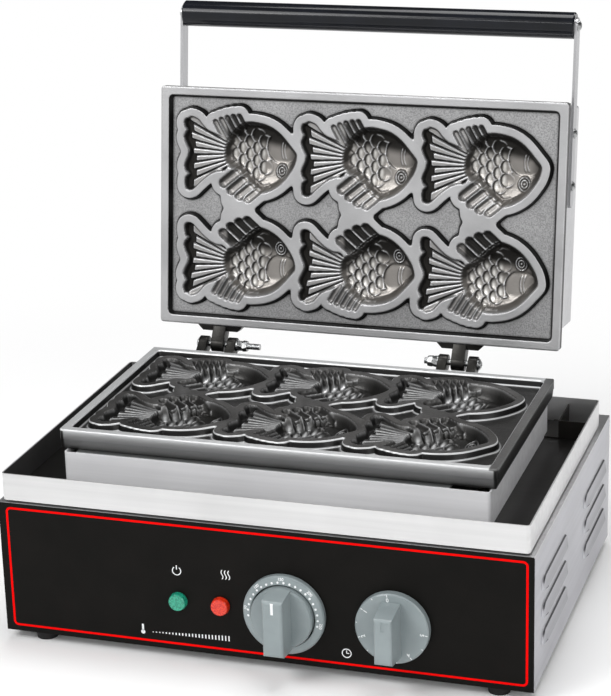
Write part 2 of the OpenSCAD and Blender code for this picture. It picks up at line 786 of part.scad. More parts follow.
// The lamp's holder behind the panel, with two tab terminals
module lamp_case() {
    difference() {
        translate([0, 0, -30]) cylinder(r = 8, h = 28.5 - label_t);
        translate([0, 0, -8.2]) cylinder(r = bush_r + 0.1, h = 10);
    }
    for (s = [-1, 1]) translate([s * 3 - 0.4, -2, -38]) cube([0.8, 4, 8.5]);
}

module power_lamp_body() {
    color("#303030") on_panel(lamp_green_x) lamp_case();
}

module heat_lamp_body() {
    color("#303030") on_panel(lamp_red_x) lamp_case();
}

module terminal_block() {
    color("#e4dcc8") seated() translate([110, rear_y - 60, foot_h + sheet]) difference() {
        union() {
            translate([-30, -9, 0]) cube([60, 18, 8]);
            for (i = [-2:2]) translate([i * 11.5 - 4.5, -7, 7]) cube([9, 14, 9]);
        }
        for (i = [-2:2]) translate([i * 11.5, 0, 9]) cylinder(r = 2.4, h = 10);
    }
}

bottom_plate();
rubber_feet();
front_panel();
control_label();
left_side_panel();
right_side_panel();
rear_panel();
cable_gland();
top_deck();
pan_seal();
drip_pan();
lead_guard();
heater_box();
plate_support();
lower_plate();
lower_heating_element();
lower_element_clamp();
lower_insulation();
hinge_bolts();
hinge_washers();
hinge_nuts();
power_lamp_lens();
heat_lamp_lens();
power_lamp_body();
heat_lamp_body();
thermostat_body();
thermostat_shaft();
temperature_ring();
thermostat_knob();
timer_body();
timer_shaft();
timer_knob();
terminal_block();
panel_screws();
upper_plate();
lid_cover();
upper_heating_element();
upper_element_clamp();
upper_insulation();
lid_lead_bush();
left_handle_arm();
right_handle_arm();
handle_bar();
handle_screws();
arm_screws();
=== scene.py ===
import json
import math

import bmesh
import bpy
import numpy as np
from mathutils import Matrix, Vector


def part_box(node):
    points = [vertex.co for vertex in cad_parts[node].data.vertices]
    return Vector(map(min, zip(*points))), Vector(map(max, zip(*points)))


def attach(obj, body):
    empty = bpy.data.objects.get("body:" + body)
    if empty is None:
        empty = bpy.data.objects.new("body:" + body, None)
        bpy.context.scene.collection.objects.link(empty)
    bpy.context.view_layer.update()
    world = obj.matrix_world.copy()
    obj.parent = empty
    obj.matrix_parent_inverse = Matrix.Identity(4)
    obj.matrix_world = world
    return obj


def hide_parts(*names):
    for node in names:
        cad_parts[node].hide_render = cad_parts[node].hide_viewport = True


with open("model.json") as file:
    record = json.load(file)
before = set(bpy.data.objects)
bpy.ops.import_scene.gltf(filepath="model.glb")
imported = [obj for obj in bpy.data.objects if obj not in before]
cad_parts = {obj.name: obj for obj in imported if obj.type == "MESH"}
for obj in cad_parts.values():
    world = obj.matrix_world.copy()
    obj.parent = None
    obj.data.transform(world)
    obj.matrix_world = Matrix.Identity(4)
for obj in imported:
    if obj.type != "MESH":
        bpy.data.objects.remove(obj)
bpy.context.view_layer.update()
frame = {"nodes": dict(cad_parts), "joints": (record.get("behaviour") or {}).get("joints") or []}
nodes = frame["nodes"]
mm = 0.001


# Places that the frame gives
joints = {joint["name"]: joint for joint in frame["joints"]}
pivot = Vector(joints["lid_hinge"]["pos_m"])
openAngle = math.radians(joints["lid_hinge"]["range_deg"][1])
labelLow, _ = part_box("control_label")
plateLow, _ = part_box("lower_plate")
ringPlace = Vector(joints["thermostat_turn"]["pos_m"])
timerPlace = Vector(joints["timer_turn"]["pos_m"])

# Camera of the photograph
cameraSettings = {
    "place": (0.4996, -1.5202, 0.7555),
    "depthOrigin": 0.02794,
    "azimuth": 18.249,
    "elevation": 18.953,
    "roll": -1.612,
    "focalPixels": 2236.3,
    "frameHeight": 696,
    "sensor": 36.0,
}


def makeCamera(s):
    camera = bpy.data.cameras.new("camera")
    camera.sensor_fit = "AUTO"
    camera.sensor_width = s["sensor"]
    camera.lens = s["focalPixels"] * s["sensor"] / s["frameHeight"]
    camera.clip_end = 50
    az, el, roll = (math.radians(s[k]) for k in ("azimuth", "elevation", "roll"))
    back = Vector((math.sin(az) * math.cos(el), -math.cos(az) * math.cos(el), math.sin(el)))
    right = Vector((0, 0, 1)).cross(back).normalized()
    up = back.cross(right)
    across = math.cos(roll) * right + math.sin(roll) * up
    upward = math.cos(roll) * up - math.sin(roll) * right
    holder = bpy.data.objects.new("camera", camera)
    place = Vector(s["place"]) - Vector((0, s["depthOrigin"], 0))
    holder.matrix_world = Matrix.Translation(place) @ Matrix((across, upward, back)).transposed().to_4x4()
    bpy.context.scene.collection.objects.link(holder)
    bpy.context.scene.camera = holder


makeCamera(cameraSettings)
print("camera made")


# Node helpers
def linear(code):
    channels = [int(code[i:i + 2], 16) / 255 for i in (1, 3, 5)]
    return tuple(c / 12.92 if c <= 0.04045 else ((c + 0.055) / 1.055) ** 2.4 for c in channels) + (1.0,)


# Settings are a node's attributes or input values, links are inputs fed by other sockets, stops are a ramp's
def addNode(tree, kind, settings=None, links=None, stops=()):
    node = tree.nodes.new(kind)
    for key, value in (settings or {}).items():
        if isinstance(key, str) and hasattr(node, key):
            setattr(node, key, value)
        else:
            node.inputs[key].default_value = value
    for key, socket in (links or {}).items():
        tree.links.new(socket, node.inputs[key])
    for k, (position, colour) in enumerate(stops):
        elements = node.color_ramp.elements
        element = elements[k] if k < len(elements) else elements.new(position)
        element.position, element.color = position, colour
    return node


def grey(value):
    return (value, value, value, 1.0)


def newMaterial(name, fixed):
    material = bpy.data.materials.new(name)
    material.use_nodes = True
    tree = material.node_tree
    tree.nodes.clear()
    shader = addNode(tree, "ShaderNodeBsdfPrincipled", fixed)
    addNode(tree, "ShaderNodeOutputMaterial", links={"Surface": shader.outputs[0]})
    return material, tree, shader, addNode(tree, "ShaderNodeTexCoord")


# Painted shade on pressed hoods: its colour, how much of it darkens their faces and how much lies on their upper slopes
hoodShade = {"colour": "#2c2b2d", "face": 0.3, "slope": 0.8}


# Cold-rolled sheet with a brushed grain: fine streaks that draw its highlights out, and faint clouding.
# Real brush lines are about 0.1 mm, under the picture's pixel, so the ones drawn are some eight times coarser.
def brushedSheet(name, s):
    material, tree, shader, where = newMaterial(name, {"Metallic": s["metallic"]})
    stretch = [1.0, 1.0, 1.0]
    stretch[s["grain"]] = 0.02
    along = addNode(tree, "ShaderNodeMapping", {"Scale": stretch}, {"Vector": where.outputs["Object"]}).outputs[0]
    lines = addNode(tree, "ShaderNodeTexNoise", {"Scale": 1000 / 0.8, "Detail": 3.0, "Roughness": 0.6},
                    {"Vector": along}).outputs[0]
    bands = addNode(tree, "ShaderNodeTexNoise", {"Scale": 1000 / 5.0, "Detail": 2.0}, {"Vector": along}).outputs[0]
    cloud = addNode(tree, "ShaderNodeTexNoise", {"Scale": 1000 / 110.0, "Detail": 3.0},
                    {"Vector": where.outputs["Object"]}).outputs[0]
    tone = addNode(tree, "ShaderNodeValToRGB", links={"Fac": cloud},
                   stops=[(0.3, linear(s["dark"])), (0.7, linear(s["light"]))]).outputs[0]
    streaks = addNode(tree, "ShaderNodeValToRGB", links={"Fac": bands},
                      stops=[(0.3, grey(0.9)), (0.7, grey(1.0))]).outputs[0]
    colour = addNode(tree, "ShaderNodeMix", {"data_type": "RGBA", "blend_type": "MULTIPLY", 0: 1.0},
                     {6: tone, 7: streaks}).outputs[2]
    if "oilAndShade" in s:
        # Baked oil and painted shade on the floor of the pan, on faces that look up below a height, and on its two side
        # walls
        place = addNode(tree, "ShaderNodeSeparateXYZ", links={0: where.outputs["Object"]}).outputs
        normal = addNode(tree, "ShaderNodeSeparateXYZ", links={0: where.outputs["Normal"]}).outputs
        inward = addNode(tree, "ShaderNodeMath", {"operation": "MULTIPLY"}, {0: place[0], 1: normal[0]}).outputs[0]
        walls = addNode(tree, "ShaderNodeMapRange", {"From Min": -0.05, "From Max": -0.15, "To Max": s["oilAndShadeWalls"]},
                        {"Value": inward}).outputs[0]
        low = addNode(tree, "ShaderNodeMapRange", {"From Min": s["oilAndShadeTop"], "From Max": s["oilAndShadeTop"] + 0.002,
                                                   "To Min": 1.0, "To Max": 0.0}, {"Value": place[2]}).outputs[0]
        flat = addNode(tree, "ShaderNodeMapRange", {"From Min": 0.7, "From Max": 0.95}, {"Value": normal[2]}).outputs[0]
        film = addNode(tree, "ShaderNodeMapRange", {"From Min": 0.25, "From Max": 0.75, "To Min": 1.0,
                                                    "To Max": 0.95}, {"Value": cloud}).outputs[0]
        both = addNode(tree, "ShaderNodeMath", {"operation": "MULTIPLY"}, {0: low, 1: flat}).outputs[0]
        bottom = addNode(tree, "ShaderNodeMath", {"operation": "MULTIPLY"}, {0: both, 1: film}).outputs[0]
        mask = addNode(tree, "ShaderNodeMath", {"operation": "MAXIMUM"}, {0: bottom, 1: walls}).outputs[0]
        colour = addNode(tree, "ShaderNodeMix", {"data_type": "RGBA", 7: linear(s["oilAndShade"])},
                         {0: mask, 6: colour}).outputs[2]
    if "pressed" in s:
        # Painted shade on the pressed hoods: their faces are darkened a little, and their upper slopes more
        place = addNode(tree, "ShaderNodeSeparateXYZ", links={0: where.outputs["Object"]}).outputs
        normal = addNode(tree, "ShaderNodeSeparateXYZ", links={0: where.outputs["Normal"]}).outputs
        outward = addNode(tree, "ShaderNodeMath", {"operation": "ABSOLUTE"}, {0: place[0]}).outputs[0]
        proud = addNode(tree, "ShaderNodeMapRange", {"From Min": s["pressed"][0], "From Max": s["pressed"][1],
                                                     "To Max": hoodShade["face"]}, {"Value": outward}).outputs[0]
        slope = addNode(tree, "ShaderNodeMapRange", {"From Min": 0.15, "From Max": 0.6, "To Max": hoodShade["slope"]},
                        {"Value": normal[2]}).outputs[0]
        onHood = addNode(tree, "ShaderNodeMath", {"operation": "GREATER_THAN", 1: s["pressed"][0]}, {0: outward})
        shadedSlope = addNode(tree, "ShaderNodeMath", {"operation": "MULTIPLY"}, {0: slope, 1: onHood.outputs[0]}).outputs[0]
        mask = addNode(tree, "ShaderNodeMath", {"operation": "MAXIMUM"}, {0: proud, 1: shadedSlope}).outputs[0]
        colour = addNode(tree, "ShaderNodeMix", {"data_type": "RGBA", 7: linear(hoodShade["colour"])},
                         {0: mask, 6: colour}).outputs[2]
    tree.links.new(colour, shader.inputs["Base Color"])
    rough = addNode(tree, "ShaderNodeMapRange", {"To Min": s["smooth"], "To Max": s["rough"]}, {"Value": lines})
    tree.links.new(rough.outputs[0], shader.inputs["Roughness"])
    relief = addNode(tree, "ShaderNodeBump", {"Distance": 0.00003, "Strength": 0.5}, {"Height": lines})
    tree.links.new(relief.outputs[0], shader.inputs["Normal"])
    return material


# Cast metal: sand grain that stays on the sunk field, oily moulds darkened with oil and painted shade, painted shade
# and soot on the walls, edges worn and painted bright, painted highlight on scale facets. The plates' own attributes
# say where each of these lies. Real grain is about 0.5 mm; it is drawn at 1.1.
def castMetal(name, s):
    material, tree, shader, where = newMaterial(name, {
        "Metallic": s["metallic"], "Coat Weight": s["coat"], "Coat Roughness": 0.12})
    at = {label: addNode(tree, "ShaderNodeAttribute", {"attribute_name": label}).outputs["Fac"]
          for label in ("field", "depth", "rim", "shadeAndSoot", "edge", "facetHighlight", "wall", "height")}
    place = {"Vector": where.outputs["Object"]}
    grain = addNode(tree, "ShaderNodeTexNoise", {"Scale": 1000 / 1.1, "Detail": 3.0}, place).outputs[0]
    pits = addNode(tree, "ShaderNodeTexNoise", {"Scale": 1000 / 2.2, "Detail": 4.0}, place).outputs[0]
    cloud = addNode(tree, "ShaderNodeTexNoise", {"Scale": 1000 / 38.0, "Detail": 3.0}, place).outputs[0]
    colour = addNode(tree, "ShaderNodeValToRGB", links={"Fac": cloud},
                     stops=[(0.3, linear(s["dark"])), (0.7, linear(s["light"]))]).outputs[0]
    sand = addNode(tree, "ShaderNodeValToRGB", links={"Fac": grain},
                   stops=[(0.35, grey(s["speckle"])), (0.62, grey(1.0))]).outputs[0]
    sanded = addNode(tree, "ShaderNodeMix", {"data_type": "RGBA", "blend_type": "MULTIPLY", 0: 1.0},
                     {6: colour, 7: sand}).outputs[2]
    colour = addNode(tree, "ShaderNodeMix", {"data_type": "RGBA"}, {0: at["field"], 6: colour, 7: sanded}).outputs[2]
    # Tones over the base: the field tone is seasoning and painted shade, the depth tone oil and painted shade, the
    # facet tone painted highlight, the shading tone painted shade and soot, the edge tone wear and painted highlight
    for label, shade in (("field", "fieldSeasoningAndShade"), ("depth", "deep"), ("rim", "rim"), ("facetHighlight", "facetHighlight"),
                         ("shadeAndSoot", "shading"), ("edge", "edge")):
        amount = addNode(tree, "ShaderNodeMath", {"operation": "MULTIPLY", 1: s[shade][1]}, {0: at[label]}).outputs[0]
        colour = addNode(tree, "ShaderNodeMix", {"data_type": "RGBA", 7: linear(s[shade][0])},
                         {0: amount, 6: colour}).outputs[2]
    # Painted shade on the walls of the lands by height, with lines of painted highlight at their top and foot on the
    # lower plate: stops of millimetres, colour and amount, which the alpha carries
    wallHigh = 6.5  # millimetres that the ramp covers, down from the lands' face
    upWall = addNode(tree, "ShaderNodeMapRange", {"From Min": -wallHigh, "From Max": 0.0},
                     {"Value": at["height"]}).outputs[0]
    wallRamp = addNode(tree, "ShaderNodeValToRGB", links={"Fac": upWall}, stops=[
        ((h + wallHigh) / wallHigh, linear(code)[:3] + (amount,)) for h, code, amount in s["wall"]])
    onWall = addNode(tree, "ShaderNodeMath", {"operation": "MULTIPLY"},
                     {0: wallRamp.outputs[1], 1: at["wall"]}).outputs[0]
    colour = addNode(tree, "ShaderNodeMix", {"data_type": "RGBA"},
                     {0: onWall, 6: colour, 7: wallRamp.outputs[0]}).outputs[2]
    tree.links.new(colour, shader.inputs["Base Color"])
    rough = addNode(tree, "ShaderNodeMapRange", {"To Min": s["smooth"], "To Max": s["rough"]}, {"Value": pits})
    oily = addNode(tree, "ShaderNodeMix", {3: s["oily"]}, {0: at["depth"], 2: rough.outputs[0]}).outputs[0]
    shadedRough = addNode(tree, "ShaderNodeMix", {3: 0.6}, {0: at["shadeAndSoot"], 2: oily}).outputs[0]
    tree.links.new(shadedRough, shader.inputs["Roughness"])
    fine = addNode(tree, "ShaderNodeBump", {"Distance": s["grainDepth"], "Strength": 0.6}, {"Height": grain})
    relief = addNode(tree, "ShaderNodeBump", {"Distance": s["grainDepth"] * 2, "Strength": 0.5},
                     {"Height": pits, "Normal": fine.outputs[0]})
    tree.links.new(relief.outputs[0], shader.inputs["Normal"])
    return material


# Moulded, pressed or printed plastic: spark-eroded texture of 0.3 mm and slight unevenness of tone
def mouldedPlastic(name, s):
    material, tree, shader, where = newMaterial(name, {
        "Coat Weight": s.get("coat", 0.0), "Specular IOR Level": s.get("gloss", 0.5)})
    place = {"Vector": where.outputs["Object"]}
    cloud = addNode(tree, "ShaderNodeTexNoise", {"Scale": 1000 / 25.0, "Detail": 3.0}, place).outputs[0]
    fine = addNode(tree, "ShaderNodeTexNoise", {"Scale": 1000 / 0.3, "Detail": 2.0}, place).outputs[0]
    tone = addNode(tree, "ShaderNodeValToRGB", links={"Fac": cloud},
                   stops=[(0.3, linear(s["dark"])), (0.7, linear(s["light"]))])
    tree.links.new(tone.outputs[0], shader.inputs["Base Color"])
    rough = addNode(tree, "ShaderNodeMapRange", {"To Min": s["smooth"], "To Max": s["rough"]}, {"Value": fine})
    tree.links.new(rough.outputs[0], shader.inputs["Roughness"])
    relief = addNode(tree, "ShaderNodeBump", {"Distance": s.get("texture", 0.00002), "Strength": 0.4},
                     {"Height": fine})
    tree.links.new(relief.outputs[0], shader.inputs["Normal"])
    return material


# Acrylic lens, moulded: glossy outside, over 1.1 mm cells pricked inside that break up its glow
def lensPlastic(name, s):
    material, tree, shader, where = newMaterial(name, {
        "Coat Weight": 0.5, "Coat Roughness": 0.04, "IOR": 1.49, "Subsurface Weight": 0.1,
        "Subsurface Radius": (0.002, 0.002, 0.002)})
    cells = addNode(tree, "ShaderNodeTexVoronoi", {"Scale": 1000 / 1.1}, {"Vector": where.outputs["Object"]})
    tone = addNode(tree, "ShaderNodeValToRGB", links={"Fac": cells.outputs["Distance"]},
                   stops=[(0.1, linear(s["light"])), (0.8, linear(s["dark"]))])
    tree.links.new(tone.outputs[0], shader.inputs["Base Color"])
    rough = addNode(tree, "ShaderNodeMapRange", {"To Min": 0.12, "To Max": 0.26}, {"Value": cells.outputs["Distance"]})
    tree.links.new(rough.outputs[0], shader.inputs["Roughness"])
    relief = addNode(tree, "ShaderNodeBump", {"Distance": 0.0003, "Strength": 0.3},
                     {"Height": cells.outputs["Distance"]})
    tree.links.new(relief.outputs[0], shader.inputs["Normal"])
    return material


# Turned steel, zinc plated or heat tinted: patchy brightness in 3 mm patches
def platedSteel(name, s):
    material, tree, shader, where = newMaterial(name, {"Metallic": 1.0})
    wear = addNode(tree, "ShaderNodeTexNoise", {"Scale": 1000 / 3.3, "Detail": 4.0},
                   {"Vector": where.outputs["Object"]}).outputs[0]
    tone = addNode(tree, "ShaderNodeValToRGB", links={"Fac": wear},
                   stops=[(0.3, linear(s["dark"])), (0.7, linear(s["light"]))])
    tree.links.new(tone.outputs[0], shader.inputs["Base Color"])
    rough = addNode(tree, "ShaderNodeMapRange", {"To Min": s["smooth"], "To Max": s["rough"]}, {"Value": wear})
    tree.links.new(rough.outputs[0], shader.inputs["Roughness"])
    relief = addNode(tree, "ShaderNodeBump", {"Distance": 0.00004, "Strength": 0.3}, {"Height": wear})
    tree.links.new(relief.outputs[0], shader.inputs["Normal"])
    return material


materials = {
    "steelAcross": brushedSheet("stainless_sheet_brushed_across", {
        "grain": 0, "dark": "#c2c2c4", "light": "#d6d6d7", "smooth": 0.26, "rough": 0.4, "metallic": 0.85}),
    # The pan's floor and inner walls carry baked oil and painted shade
    "steelPan": brushedSheet("stainless_pan_brushed_oil_baked_and_shaded", {
        "grain": 0, "dark": "#d6d6d6", "light": "#e6e6e6", "smooth": 0.26, "rough": 0.4, "metallic": 0.85,
        "oilAndShade": "#1b1816", "oilAndShadeTop": 0.1165, "oilAndShadeWalls": 0.85}),
    "steelBox": brushedSheet("stainless_box_brushed_matt", {
        "grain": 0, "dark": "#e4e4e6", "light": "#f1f1f3", "smooth": 0.36, "rough": 0.5, "metallic": 0.12}),
    "steelOiled": brushedSheet("stainless_sheet_oil_baked", {
        "grain": 2, "dark": "#1e1c1a", "light": "#34312e", "smooth": 0.32, "rough": 0.46, "metallic": 0.7}),
    "steelBack": brushedSheet("stainless_sheet_brushed_front_to_back", {
        "grain": 1, "dark": "#b4b4b9", "light": "#c3c3c8", "smooth": 0.3, "rough": 0.44, "metallic": 0.8,
        "pressed": (0.2037, 0.2058)}),
    "steelUp": brushedSheet("stainless_strip_brushed_lengthwise", {
        "grain": 2, "dark": "#aeaeb0", "light": "#c6c6c8", "smooth": 0.24, "rough": 0.4, "metallic": 0.9}),
    "galvanised": brushedSheet("galvanised_sheet_rolled", {
        "grain": 0, "dark": "#8c8e8e", "light": "#a9abab", "smooth": 0.4, "rough": 0.6, "metallic": 0.9}),
    "bareCast": castMetal("cast_plate_sand_cast_bare", {
        "dark": "#a5a5a6", "light": "#b9b9ba", "fieldSeasoningAndShade": ("#9c9c9c", 0.3), "deep": ("#7f7a74", 0.82),
        "rim": ("#b3b3b4", 0.2), "facetHighlight": ("#e9e7e3", 0.85), "shading": ("#11100e", 0.96), "edge": ("#e4e5e7", 0.8),
        "wall": [(-6.1, "#0f0e0d", 0.0), (-5.9, "#0f0e0d", 0.95), (-0.5, "#0f0e0d", 0.95), (-0.1, "#8a8a8a", 0.0)],
        "speckle": 0.5, "smooth": 0.36, "rough": 0.5, "oily": 0.36, "metallic": 0.9, "coat": 0.0,
        "grainDepth": 0.00012}),
    "oiledCast": castMetal("cast_plate_seasoned_and_oiled", {
        "dark": "#2b2a29", "light": "#4d4c4b", "fieldSeasoningAndShade": ("#151413", 0.9), "deep": ("#161513", 0.95),
        "rim": ("#cfd0d1", 0.92), "facetHighlight": ("#f0f1f2", 0.95), "shading": ("#0a0908", 0.96), "edge": ("#dfe0e1", 0.28),
        "wall": [(-6.05, "#c4c5c6", 0.0), (-5.85, "#c4c5c6", 0.85), (-5.2, "#c4c5c6", 0.85), (-4.9, "#0b0a09", 0.96),
                 (-1.3, "#0b0a09", 0.96), (-1.0, "#d6d7d8", 0.85), (-0.2, "#d6d7d8", 0.85), (-0.02, "#d6d7d8", 0.0)],
        "speckle": 0.5, "smooth": 0.36, "rough": 0.48, "oily": 0.3, "metallic": 0.5, "coat": 0.12,
        "grainDepth": 0.00012}),
    "roughCast": castMetal("cast_hinge_unmachined", {
        "dark": "#151413", "light": "#383735", "fieldSeasoningAndShade": ("#191817", 0.0), "deep": ("#24221f", 0.0),
        "rim": ("#cfd0d1", 0.0), "facetHighlight": ("#e2e3e5", 0.0), "shading": ("#0b0a09", 0.0), "edge": ("#e2e3e5", 0.0),
        "wall": [(-6.0, "#0b0a09", 0.0), (0.0, "#0b0a09", 0.0)], "speckle": 0.8,
        "smooth": 0.26, "rough": 0.42, "oily": 0.4, "metallic": 0.85, "coat": 0.0, "grainDepth": 0.0001}),
    "label": mouldedPlastic("polyester_film_printed_black", {
        "dark": "#0b0a08", "light": "#100e0c", "smooth": 0.42, "rough": 0.5, "texture": 0.000008, "gloss": 0.1}),
    "redInk": mouldedPlastic("screen_ink_red", {
        "dark": "#e60000", "light": "#f40402", "smooth": 0.5, "rough": 0.6, "texture": 0.000005, "gloss": 0.05}),
    "whiteInk": mouldedPlastic("screen_ink_white", {
        "dark": "#dfe2e4", "light": "#f4f6f7", "smooth": 0.4, "rough": 0.5, "texture": 0.000005}),
    "knob": mouldedPlastic("abs_grey_moulded", {
        "dark": "#7f898b", "light": "#8c9698", "smooth": 0.3, "rough": 0.42, "coat": 0.15}),
    "bar": mouldedPlastic("phenolic_bar_polished", {
        "dark": "#080a0f", "light": "#0f1219", "smooth": 0.12, "rough": 0.2, "coat": 0.2, "gloss": 0.2}),
    "blackPlastic": mouldedPlastic("nylon_black_moulded", {
        "dark": "#171717", "light": "#222222", "smooth": 0.45, "rough": 0.6}),
    "blackPaint": mouldedPlastic("powder_coat_black", {
        "dark": "#0c0b0a", "light": "#131211", "smooth": 0.5, "rough": 0.62, "gloss": 0.15}),
    "palePlastic": mouldedPlastic("phenolic_pale_moulded", {
        "dark": "#cfc6b2", "light": "#ddd5c3", "smooth": 0.4, "rough": 0.55}),
    "rubber": mouldedPlastic("rubber_black_moulded", {
        "dark": "#141414", "light": "#1f1f1f", "smooth": 0.6, "rough": 0.75, "gloss": 0.3}),
    "greenLens": lensPlastic("lens_green_acrylic", {"dark": "#107a62", "light": "#2dae8d"}),
    "redLens": lensPlastic("lens_red_acrylic", {"dark": "#c41b0c", "light": "#ef4118"}),
    "fastener": platedSteel("steel_zinc_plated", {
        "dark": "#77797a", "light": "#c2c3c3", "smooth": 0.2, "rough": 0.36}),
    "sheath": platedSteel("heater_sheath_heat_tinted", {
        "dark": "#5a4c40", "light": "#83766a", "smooth": 0.34, "rough": 0.5}),
    "board": mouldedPlastic("fibre_board_pressed", {
        "dark": "#cfc8b8", "light": "#e2dccd", "smooth": 0.8, "rough": 0.95, "texture": 0.0002}),
}

nodeMaterial = {
    "bottom_plate": "galvanised", "rubber_feet": "rubber", "front_panel": "blackPaint",
    "control_label": "label", "left_side_panel": "steelBack", "right_side_panel": "steelBack",
    "rear_panel": "steelAcross", "cable_gland": "blackPlastic", "top_deck": "steelAcross",
    # pan_seal's black rubber stands in for the shaded gap under the pan: a painted shadow line
    "pan_seal": "rubber", "drip_pan": "steelPan", "lead_guard": "steelOiled",
    "heater_box": "steelBox", "plate_support": "galvanised", "lower_plate": "oiledCast",
    "lower_heating_element": "sheath", "lower_element_clamp": "galvanised",
    "lower_insulation": "board", "hinge_bolts": "fastener", "hinge_washers": "fastener",
    "hinge_nuts": "fastener", "power_lamp_lens": "greenLens", "heat_lamp_lens": "redLens",
    "power_lamp_body": "blackPlastic", "heat_lamp_body": "blackPlastic",
    "thermostat_body": "palePlastic", "thermostat_shaft": "fastener", "temperature_ring": "knob",
    "thermostat_knob": "knob", "timer_body": "blackPlastic", "timer_shaft": "fastener",
    "timer_knob": "knob", "terminal_block": "palePlastic", "panel_screws": "fastener",
    "upper_plate": "bareCast", "lid_cover": "steelAcross", "upper_heating_element": "sheath",
    "upper_element_clamp": "galvanised", "upper_insulation": "board",
    "lid_lead_bush": "blackPlastic", "left_handle_arm": "steelUp", "right_handle_arm": "steelUp",
    "handle_bar": "bar", "handle_screws": "fastener", "arm_screws": "fastener",
}
for nodeName, key in nodeMaterial.items():
    mesh = nodes[nodeName].data
    mesh.materials.clear()
    mesh.materials.append(materials[key])
print("materials made")


def addObject(name, mesh, body, material):
    mesh.materials.append(materials[material])
    piece = bpy.data.objects.new(name, mesh)
    bpy.context.scene.collection.objects.link(piece)
    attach(piece, body)
    return piece


# Cast plates with their fish moulds, in millimetres: x across, t from the hinge edge, height above the face
plate = {
    "width": 337.0,
    "depth": 195.5,
    "thickness": 16.0,
    "cornerRadius": 3.0,
    "edgeRadius": 0.9,
    "rim": 6.5,
    "fieldCorner": 4.5,
    "fieldDepth": 6.0,
    "draft": 1.9,
    "land": 6.0,
    "pitch": 100.3,
    "rowPlace": 54.5,
    "bowlDepth": 14.2,
    "tailDepth": 7.0,
    "step": 0.52,
    "faceBelowPivot": 0.9,
    "faceGap": 0.3,
    "bossDepth": 8.0,
    "sideLevels": [(-1.8, 0.03), (-7.5, 0.1), (-8.1, 0.75), (-13.0, 1.2), (-15.2, 1.6), (-16.0, 2.4)],
    "sideRim": [(-16.0, 0.0), (-15.2, 0.0), (-13.0, 0.1), (-8.1, 0.4), (-7.5, 0.48), (-1.8, 0.9)],
    "endDarkening": 0.85,
    "leastDrop": 0.3,
}


def smoothMin(a, b, k):
    h = np.clip(0.5 + 0.5 * (b - a) / k, 0, 1)
    return b + (a - b) * h - k * h * (1 - h)


def smoothStep(x):
    x = np.clip(x, 0, 1)
    return x * x * (3 - 2 * x)


def ridge(distance, width):
    return np.exp(-((distance / width) ** 2))


# Distance from a straight line's piece, and the signed distance from the line's whole length
def stripDistance(u, v, a, b):
    du, dv = b[0] - a[0], b[1] - a[1]
    along = np.clip(((u - a[0]) * du + (v - a[1]) * dv) / (du * du + dv * dv), 0, 1)
    aside = ((u - a[0]) * dv - (v - a[1]) * du) / math.hypot(du, dv)
    return np.hypot(u - a[0] - along * du, v - a[1] - along * dv), aside


# Points on a closed smooth curve through the corners
def curveThrough(corners, between):
    points = np.array(corners)
    before, after, beyond = (np.roll(points, k, axis=0) for k in (1, -1, -2))
    parts = []
    for k in range(between):
        s = k / between
        parts.append(0.5 * (2 * points + (after - before) * s + (2 * before - 5 * points + 4 * after - beyond) * s ** 2
                            + (3 * points - before - 3 * after + beyond) * s ** 3))
    return np.stack(parts, 1).reshape(-1, 2)


# Distance outside a closed outline, negative inside it
def outlineDistance(u, v, corners, between):
    points = curveThrough(corners, between)
    best = np.full(u.shape, 1e9)
    inside = np.zeros(u.shape, bool)
    for (ax, ay), (bx, by) in zip(points, np.roll(points, -1, axis=0)):
        best = np.minimum(best, stripDistance(u, v, (ax, ay), (bx, by))[0])
        rise = by - ay if by != ay else 1e-9
        inside ^= ((ay > v) != (by > v)) & (u < (bx - ax) * (v - ay) / rise + ax)
    return np.where(inside, -best, best)


